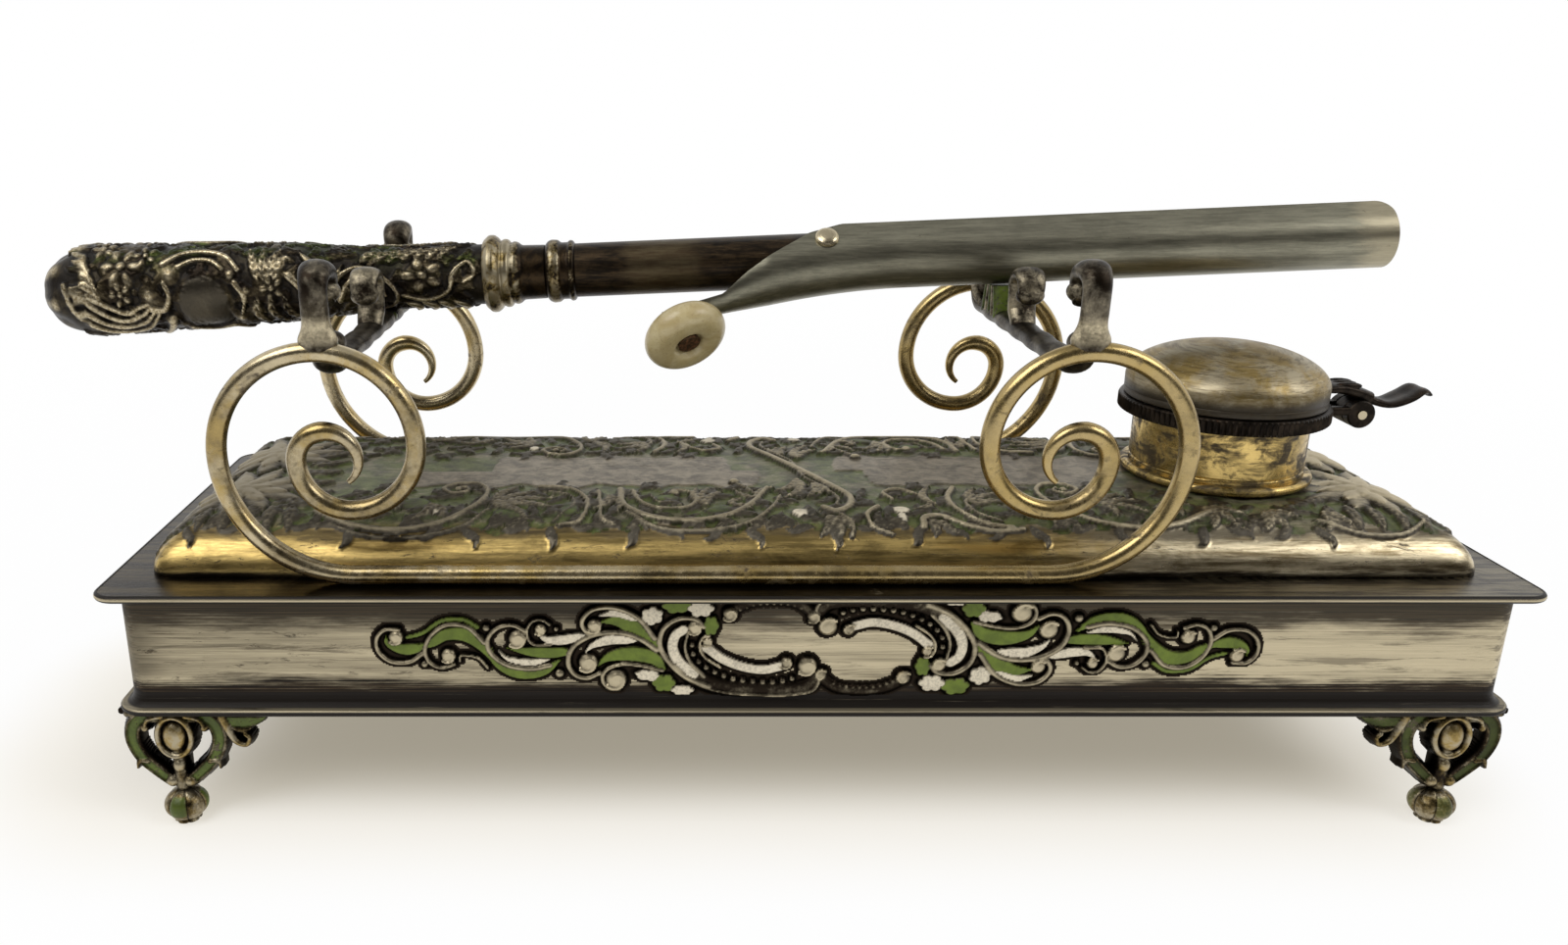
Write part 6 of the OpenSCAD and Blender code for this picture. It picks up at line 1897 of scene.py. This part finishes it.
def handle_motif(work, s, y0, rise):
    """One face of the handle."""

    def line(wide, narrow, *points, lift=1.0, **how):
        work.stroke(through(*points) * np.array([1, s]) + np.array([0, y0]), wide, rise * lift,
                    narrow, **how)

    def knob(x, y, r):
        work.pebble(x, y0 + s * y, r, r, rise * 0.7)
        work.pebble(x, y0 + s * y, r * 0.55, r * 0.55, rise)

    def flower(x, y, r, petals):
        work.pebble(x, y0 + s * y, r * 0.9, r * 0.9, rise * 0.35)
        for k in range(petals):
            a = 2 * math.pi * k / petals
            px, py = x + 0.66 * r * math.cos(a), y0 + s * (y + 0.66 * r * math.sin(a))
            work.pebble(px, py, r * 0.42, 1.5 * r / petals, rise * 0.9, math.degrees(a) * s)
        work.pebble(x, y0 + s * y, r * 0.27, r * 0.27, rise)

    # gadroon ribs that sweep under the flowers by the pommel
    for k in range(4):
        d = 1.5 * k
        line(1.5, 0.8, (140.5 - d, 3.6 - d * 0.4), (138.6 - d, -1.4 + d * 0.5),
             (133.5 - d * 0.8, -5.2 + d * 0.9), (127.4, -4.8 + d),
             (123.8 + d * 0.4, -1.6 + d * 0.4))
    for k in range(5):
        line(1.8, 0.7, (140.8 - 0.8 * k, 11.6 - 1.9 * k), (138.4 - 0.8 * k, 10.4 - 1.9 * k),
             (137.0 - 0.8 * k, 8.0 - 1.7 * k), leaf=True)
    flower(130, 6.4, 3.7, 6)
    flower(125.8, 8.4, 2.3, 5)
    flower(130.2, 1.9, 2.1, 5)
    flower(134.0, 10.2, 2.3, 5)
    # scroll frame of the shield
    knob(125.0, 1.6, 2.0)
    line(1.5, 1.0, (125.0, -0.6), (122.6, -0.8), (121.4, 1.4), (122.2, 3.4))
    knob(121.0, 4.8, 1.9)
    line(1.3, 1.0, (122.4, 6.6), (118.8, 8.6), (114.8, 9.0), (111.0, 7.8), (108.6, 5.2), lift=1.1)
    line(1.2, 0.9, (119.6, 6.0), (116.8, 7.2), (113.6, 7.0), (111.4, 5.4))
    knob(110.0, 4.4, 1.6)
    line(1.8, 1.2, (121.6, -2.6), (123.0, -5.2), (125.0, -8.0), (126.8, -11.0))
    line(1.4, 0.9, (119.2, -5.6), (115.2, -7.0), (111.2, -6.0), (108.8, -8.6))
    knob(122.4, -3.4, 1.3)
    knob(109.2, -3.6, 1.2)
    line(1.4, 0.8, (109.2, 3.0), (107.8, 0.4), (108.8, -2.4))
    work.pebble(115.3, y0 - s * 0.4, 5.7, 5.9, rise * 0.25)
    work.pebble(115.3, y0 - s * 0.4, 4.9, 5.2, rise * 0.62)
    work.cream[np.hypot((work.x - 115.3) / 4.5, (work.y - y0 + s * 0.4) / 4.8) < 1] = 1
    # leaves between the shield and the long scroll
    for k, tip in enumerate(((107.0, 10.0), (104.4, 10.2), (101.0, 9.4), (98.8, 7.6))):
        line(2.3, 0.5, (105.0 - k, 3.4), (105.8 - 1.7 * k, 6.8), tip, leaf=True, ribs=0.7)
    flower(102.6, 1.8, 2.3, 5)
    knob(107.3, 1.6, 1.1)
    for k in range(3):
        line(2.2, 0.5, (105.4 - 2.4 * k, 0.4), (106.0 - 3.0 * k, -3.0), (104.2 - 3.4 * k, -5.8),
             leaf=True, ribs=0.7)
    line(1.7, 0.8, (99.4, 4.0), (97.0, 1.0), (95.6, -3.0), (98.0, -5.8))
    line(1.9, 0.8, (97.6, 8.4), (94.6, 5.6), (91.4, 3.4), (89.4, 6.2), leaf=True)
    # long scroll and its leaves
    line(1.4, 0.8, (92.6, -1.2), (90.4, 3.2), (86.8, 5.2), (82.8, 3.4), (80.0, -0.8), (81.4, -4.4),
         (85.4, -5.2))
    line(1.2, 0.8, (90.6, -1.6), (88.8, 2.0), (86.0, 3.4), (83.4, 1.8), (82.2, -1.2))
    knob(86.0, -1.0, 1.7)
    for k in range(3):
        line(2.3, 0.5, (86.4 - 2.6 * k, 6.2), (84.8 - 2.6 * k, 8.4),
             (81.6 - 2.4 * k, 8.8 + 0.8 * k), leaf=True, ribs=0.7)
    flower(75.0, 3.0, 3.9, 5)
    for k in range(4):
        line(2.1, 0.5, (78.6 - 2.2 * k, 6.6), (77.0 - 2.2 * k, 9.0), (74.6 - 2.0 * k, 9.8),
             leaf=True, ribs=0.7)
    line(1.3, 0.8, (78.8, -1.4), (74.6, -2.8), (70.4, -0.6), (69.4, 3.2), (66.6, 5.6), (65.4, 2.8),
         (67.4, 1.2))
    for k in range(4):
        line(1.9, 0.5, (78.6 - 3.0 * k, -3.4), (76.4 - 3.0 * k, -5.8), (77.4 - 3.0 * k, -8.6),
             leaf=True)


class STAND_OT_handle(bpy.types.Operator):
    """Builds the chased handle with its pommel, and the turned ferrule and ring"""

    bl_idname = "tongs_stand.handle"
    bl_label = "Handle"

    def execute(self, context):
        rise = context.scene.stand_shape.handle_rise / MM
        reach_end, pommel = 147.0, 10.0
        girth = 44.0
        columns = 176
        reach = np.concatenate([np.arange(64, 137, 0.32), [137.0]])
        profile = [(s, float(handle_r(s))) for s in reach]
        for a in np.radians(np.linspace(4, 90, 26)):
            profile.append((138 + (pommel - 1) * math.sin(a), max(0.02, 8.1 * math.cos(a) ** 0.8)))
        profile = np.array(profile)
        slope = np.gradient(profile, axis=0)
        slope /= np.linalg.norm(slope, axis=1)[:, None]
        turn = np.linspace(0, 2 * np.pi, columns, endpoint=False)
        gx, gt = np.meshgrid(profile[:, 0], (turn / (2 * np.pi) - 0.5) * girth, indexing="ij")
        work = Chasing(gx, gt)
        chase_handle(work, girth, rise)
        lift = np.maximum(work.height.reshape(gx.shape), -0.2)
        ground = work.height < 0.02
        work.hollow[ground] = np.maximum(work.hollow[ground], 0.5)
        lift *= np.clip((reach_end - 3.2 - profile[:, 0]) / 3, 0, 1)[:, None]
        along = profile[:, 0][:, None] - slope[:, 1][:, None] * lift
        radius = profile[:, 1][:, None] + slope[:, 0][:, None] * lift
        along = np.minimum(along, reach_end)
        # six soft lobes on the pommel
        lobe = np.tile(0.5 + 0.5 * np.cos(6 * turn), (len(profile), 1))
        cap = np.clip((profile[:, 0] - 140.5) / 2, 0, 1)[:, None]
        radius = radius * (1 - 0.07 * cap * (1 - lobe) ** 2)
        angle = turn + math.radians(166)
        rings = np.stack([-along, -radius * np.cos(angle), radius * np.sin(angle)], -1)
        points, faces = loft(rings)
        shares = work.shares(rise)
        smooth = np.clip((np.ravel(gx) - 141) / 2, 0, 1)[:, None]
        lobe = lobe.ravel()
        capped = np.stack([0.25 + 0.6 * lobe, 0 * lobe, 0 * lobe, 0.3 - 0.3 * lobe], 1)
        shares = shares * (1 - smooth) + capped * smooth
        cast = Casting().add(points, faces, shares, TONGS)
        cast.piece("handle_chased", "tongs", "handle_silver", finish("handle_silver"),
                   "handle_shell", "pommel_cap")

        a, b = 64.0, 52.4
        ferrule = [
            (a, 0.01), (a, 6.2), (a - 0.4, 6.6), (a - 1.1, 7.2), (a - 2.1, 7.2), (a - 2.9, 6.6),
            (a - 3.3, 6.0), (a - 3.9, 6.4), (a - 4.7, 6.3), (a - 5.2, 5.6), (a - 5.8, 5.9),
            (a - 6.5, 5.7), (a - 7.2, 5.1), (b, 5.0), (b, 0.01),
        ]
        self.turned("ferrule_turned", ferrule, "handle_ferrule")
        near = b - 5.6
        ring = [
            (b, 0.01), (b, 5.0), (b - 0.5, 5.6), (b - 1.2, 5.9), (b - 2.4, 5.8), (b - 2.9, 5.3),
            (near + 1.4, 5.3), (near + 1, 5.7), (near + 0.4, 5.6), (near, 5.0), (near, 0.01),
        ]
        self.turned("neck_ring_turned", ring, "neck_ring")
        return {"FINISHED"}

    def turned(self, name, profile, node):
        """A gilt turning on the tongs' axis."""
        profile = rounded_profile(profile, 0.3)
        points, faces = lathe([(-x, r) for x, r in profile], 112)
        radius = np.hypot(points[:, 1], points[:, 2])
        raised = np.clip((radius - 5.05) / 0.9, 0, 1)
        shares = np.stack([raised, raised * 0, raised * 0, 1 - raised], 1)
        Casting().add(points, faces, shares, TONGS).piece(name, "tongs", "ferrule_gilt",
                                                          finish("ferrule_gilt"), node)


STUD_FINISH = {"pearl": "pearl_button", "rivet_brown": "rivet_brown"}


def lever_drop(x):
    """How far the jaw's underside has dropped at x."""
    return np.where(x > FLARE_AT, 0, LEVER_DROP * ((FLARE_AT - x) / (FLARE_AT + LEVER_L)) ** 2)


def channel_side(w, centre, high, n):
    """Half round of radius w with straight cheeks up to high, or a shallower arc."""
    cut = math.asin(min(1, (centre - high) / w)) if high < centre else 0
    arc = np.linspace(math.pi + cut, 2 * math.pi - cut, n)
    side = np.stack([w * np.cos(arc), centre + w * np.sin(arc)], 1)
    if cut:
        ends = side[[0, -1]]
    else:
        ends = np.array([[side[0, 0], max(high, centre)], [side[-1, 0], max(high, centre)]])
    ends = ends + [0, 1e-3]
    return np.concatenate([ends[:1], side, ends[1:]])


def stud(name, turned, seat, slot, node):
    """Turned piece that stands on the end of the thumb lever."""
    points, faces = turned
    cast = Casting().add(np.roll(points, -1, axis=1), faces, place=seat)
    cast.piece(name, "jaw", slot, finish(STUD_FINISH[slot]), node)


class STAND_OT_jaw(bpy.types.Operator):
    """Builds the hollow jaw with its thumb lever, button, rivet and bending spring"""

    bl_idname = "tongs_stand.jaw"
    bl_label = "Jaw"

    def execute(self, context):
        lever = np.linspace(-LEVER_L - 3, FLARE_AT, 60)
        end = JAW_L - 3 + 3 * np.sin(np.radians(np.linspace(0, 88, 12)))
        xs = np.concatenate([lever[:-1], np.linspace(FLARE_AT, JAW_L - 3, 40)[:-1], end])
        rings = []
        for x in xs:
            w = float(np.interp(x, (-31, -19.6, -15, -11, -8),
                                (2.2, 3.4, 4.9, JAW_OUT - 0.1, JAW_OUT)))
            high = float(np.interp(x, (-31, -19.6, -15, -7.6, -3, 3),
                                   (-12.9, -9.6, -6.2, -1.4, 1.6, CHEEK_H)))
            low = -JAW_OUT - float(lever_drop(x))
            if x > JAW_L - 3:
                high = CHEEK_H - 3 + math.sqrt(max(9 - (x - JAW_L + 3) ** 2, 0))
            outer = channel_side(w, low + w, high, 33)
            inner = channel_side(w - JAW_WALL, low + w, high, 33)
            ring = np.concatenate([outer, inner[::-1]])
            rings.append(np.column_stack([np.full(len(ring), x), ring]))
        points, faces = loft(np.array(rings))
        n = len(rings[0])
        half = n // 2
        faces = faces[:-2]
        for first in (0, (len(rings) - 1) * n):
            last = first + n - 1
            faces += [(first + k, first + k + 1, last - 1 - k, last - k) for k in range(half - 1)]
        cast = Casting().add(points, faces, place=JAW)
        cast.piece("tongs_jaw_formed", "jaw", "jaw_nickel", finish("jaw_nickel"), "tongs_jaw")

        # leaf spring, fixed to the rod and bending with the lever
        leaf = bends((-4.5, -ROD_R - 0.3), 180, (1.5, 0), (26, 28), step=0.3)
        cast = Casting().add(*sweep(upright(leaf), 3.0, 0.4, (0, 1, 0), 6, 24), place=JAW)
        spring = cast.piece("return_spring_bent", None, "screw_steel", finish("screw_steel"),
                            "return_spring")
        ends = [JAW @ Vector((x, 0, -ROD_R)) * MM for x in (-5.0, -16.0)]
        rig.blend(spring, "tongs", "jaw", start=ends[0], end=ends[1])

        slope = math.atan(2 * LEVER_DROP / (FLARE_AT + LEVER_L))
        seat = (
            JAW
            @ Matrix.Translation((-LEVER_L, 0, -JAW_OUT - LEVER_DROP))
            @ Matrix.Rotation(math.pi, 4, "X")
            @ Matrix.Rotation(slope, 4, "Y")
        )
        r, h = 7.7, 6.0
        button = [(0, 0.01), (0, 2.6)]
        button += [
            (h * 0.52 + h * 0.48 * math.sin(a), r - h / 2 + h / 2 * math.cos(a))
            for a in np.radians(np.linspace(-78, 72, 28))
        ]
        button += [(h - 0.05, 3.6), (h - 0.25, 3.1), (h - 0.9, 2.6), (h - 1.6, 2.3),
                   (h - 1.6, 0.01)]
        stud("pearl_button_turned", lathe(button, 96), seat, "pearl", "pearl_button")
        rivet = [(-2.0, 0.01), (-2.0, 1.5), (h - 1.5, 1.2), (h - 1.5, 2.05), (h - 0.8, 2.1),
                 (h - 0.55, 1.7), (h - 0.5, 1.0), (h - 0.7, 0.01)]
        stud("button_rivet_headed", lathe(rivet, 64), seat, "rivet_brown", "button_rivet")
        return {"FINISHED"}


# ---------------------------------------------------------------- panel and registration


class STAND_PT_panel(bpy.types.Panel):
    """Lists the makers of the stand's pieces and their sizes and colours"""

    bl_idname = "STAND_PT_panel"
    bl_label = "Curling Tongs Stand"
    bl_space_type = "VIEW_3D"
    bl_region_type = "UI"
    bl_category = "Tongs Stand"

    def draw(self, context):
        layout = self.layout
        for group in (context.scene.stand_shape, context.scene.stand_finish):
            for name in group.__annotations__:
                layout.prop(group, name)
        for maker in MAKERS:
            layout.operator(maker.bl_idname)


MAKERS = (
    STAND_OT_stage,
    STAND_OT_casket,
    STAND_OT_cover,
    STAND_OT_scrollwork,
    STAND_OT_feet,
    STAND_OT_wires,
    STAND_OT_cradles,
    STAND_OT_burner,
    STAND_OT_handle,
    STAND_OT_jaw,
)
CLASSES = (StandFinish, StandShape, *MAKERS, STAND_PT_panel)


def register():
    for item in CLASSES:
        bpy.utils.register_class(item)
    bpy.types.Scene.stand_finish = bpy.props.PointerProperty(type=StandFinish)
    bpy.types.Scene.stand_shape = bpy.props.PointerProperty(type=StandShape)


def unregister():
    del bpy.types.Scene.stand_shape
    del bpy.types.Scene.stand_finish
    for item in reversed(CLASSES):
        bpy.utils.unregister_class(item)


def main():
    """Makes every piece in order and writes the sizes before and after."""
    register()
    for maker in MAKERS:
        group, name = maker.bl_idname.split(".")
        getattr(getattr(bpy.ops, group), name)()
    sizes = {"cad": [list(v) for v in CAD_BOUNDS], "visual": [list(v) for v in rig.bounds()]}
    with open("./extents.json", "w") as file:
        json.dump(sizes, file)


if __name__ == "__main__":
    main()
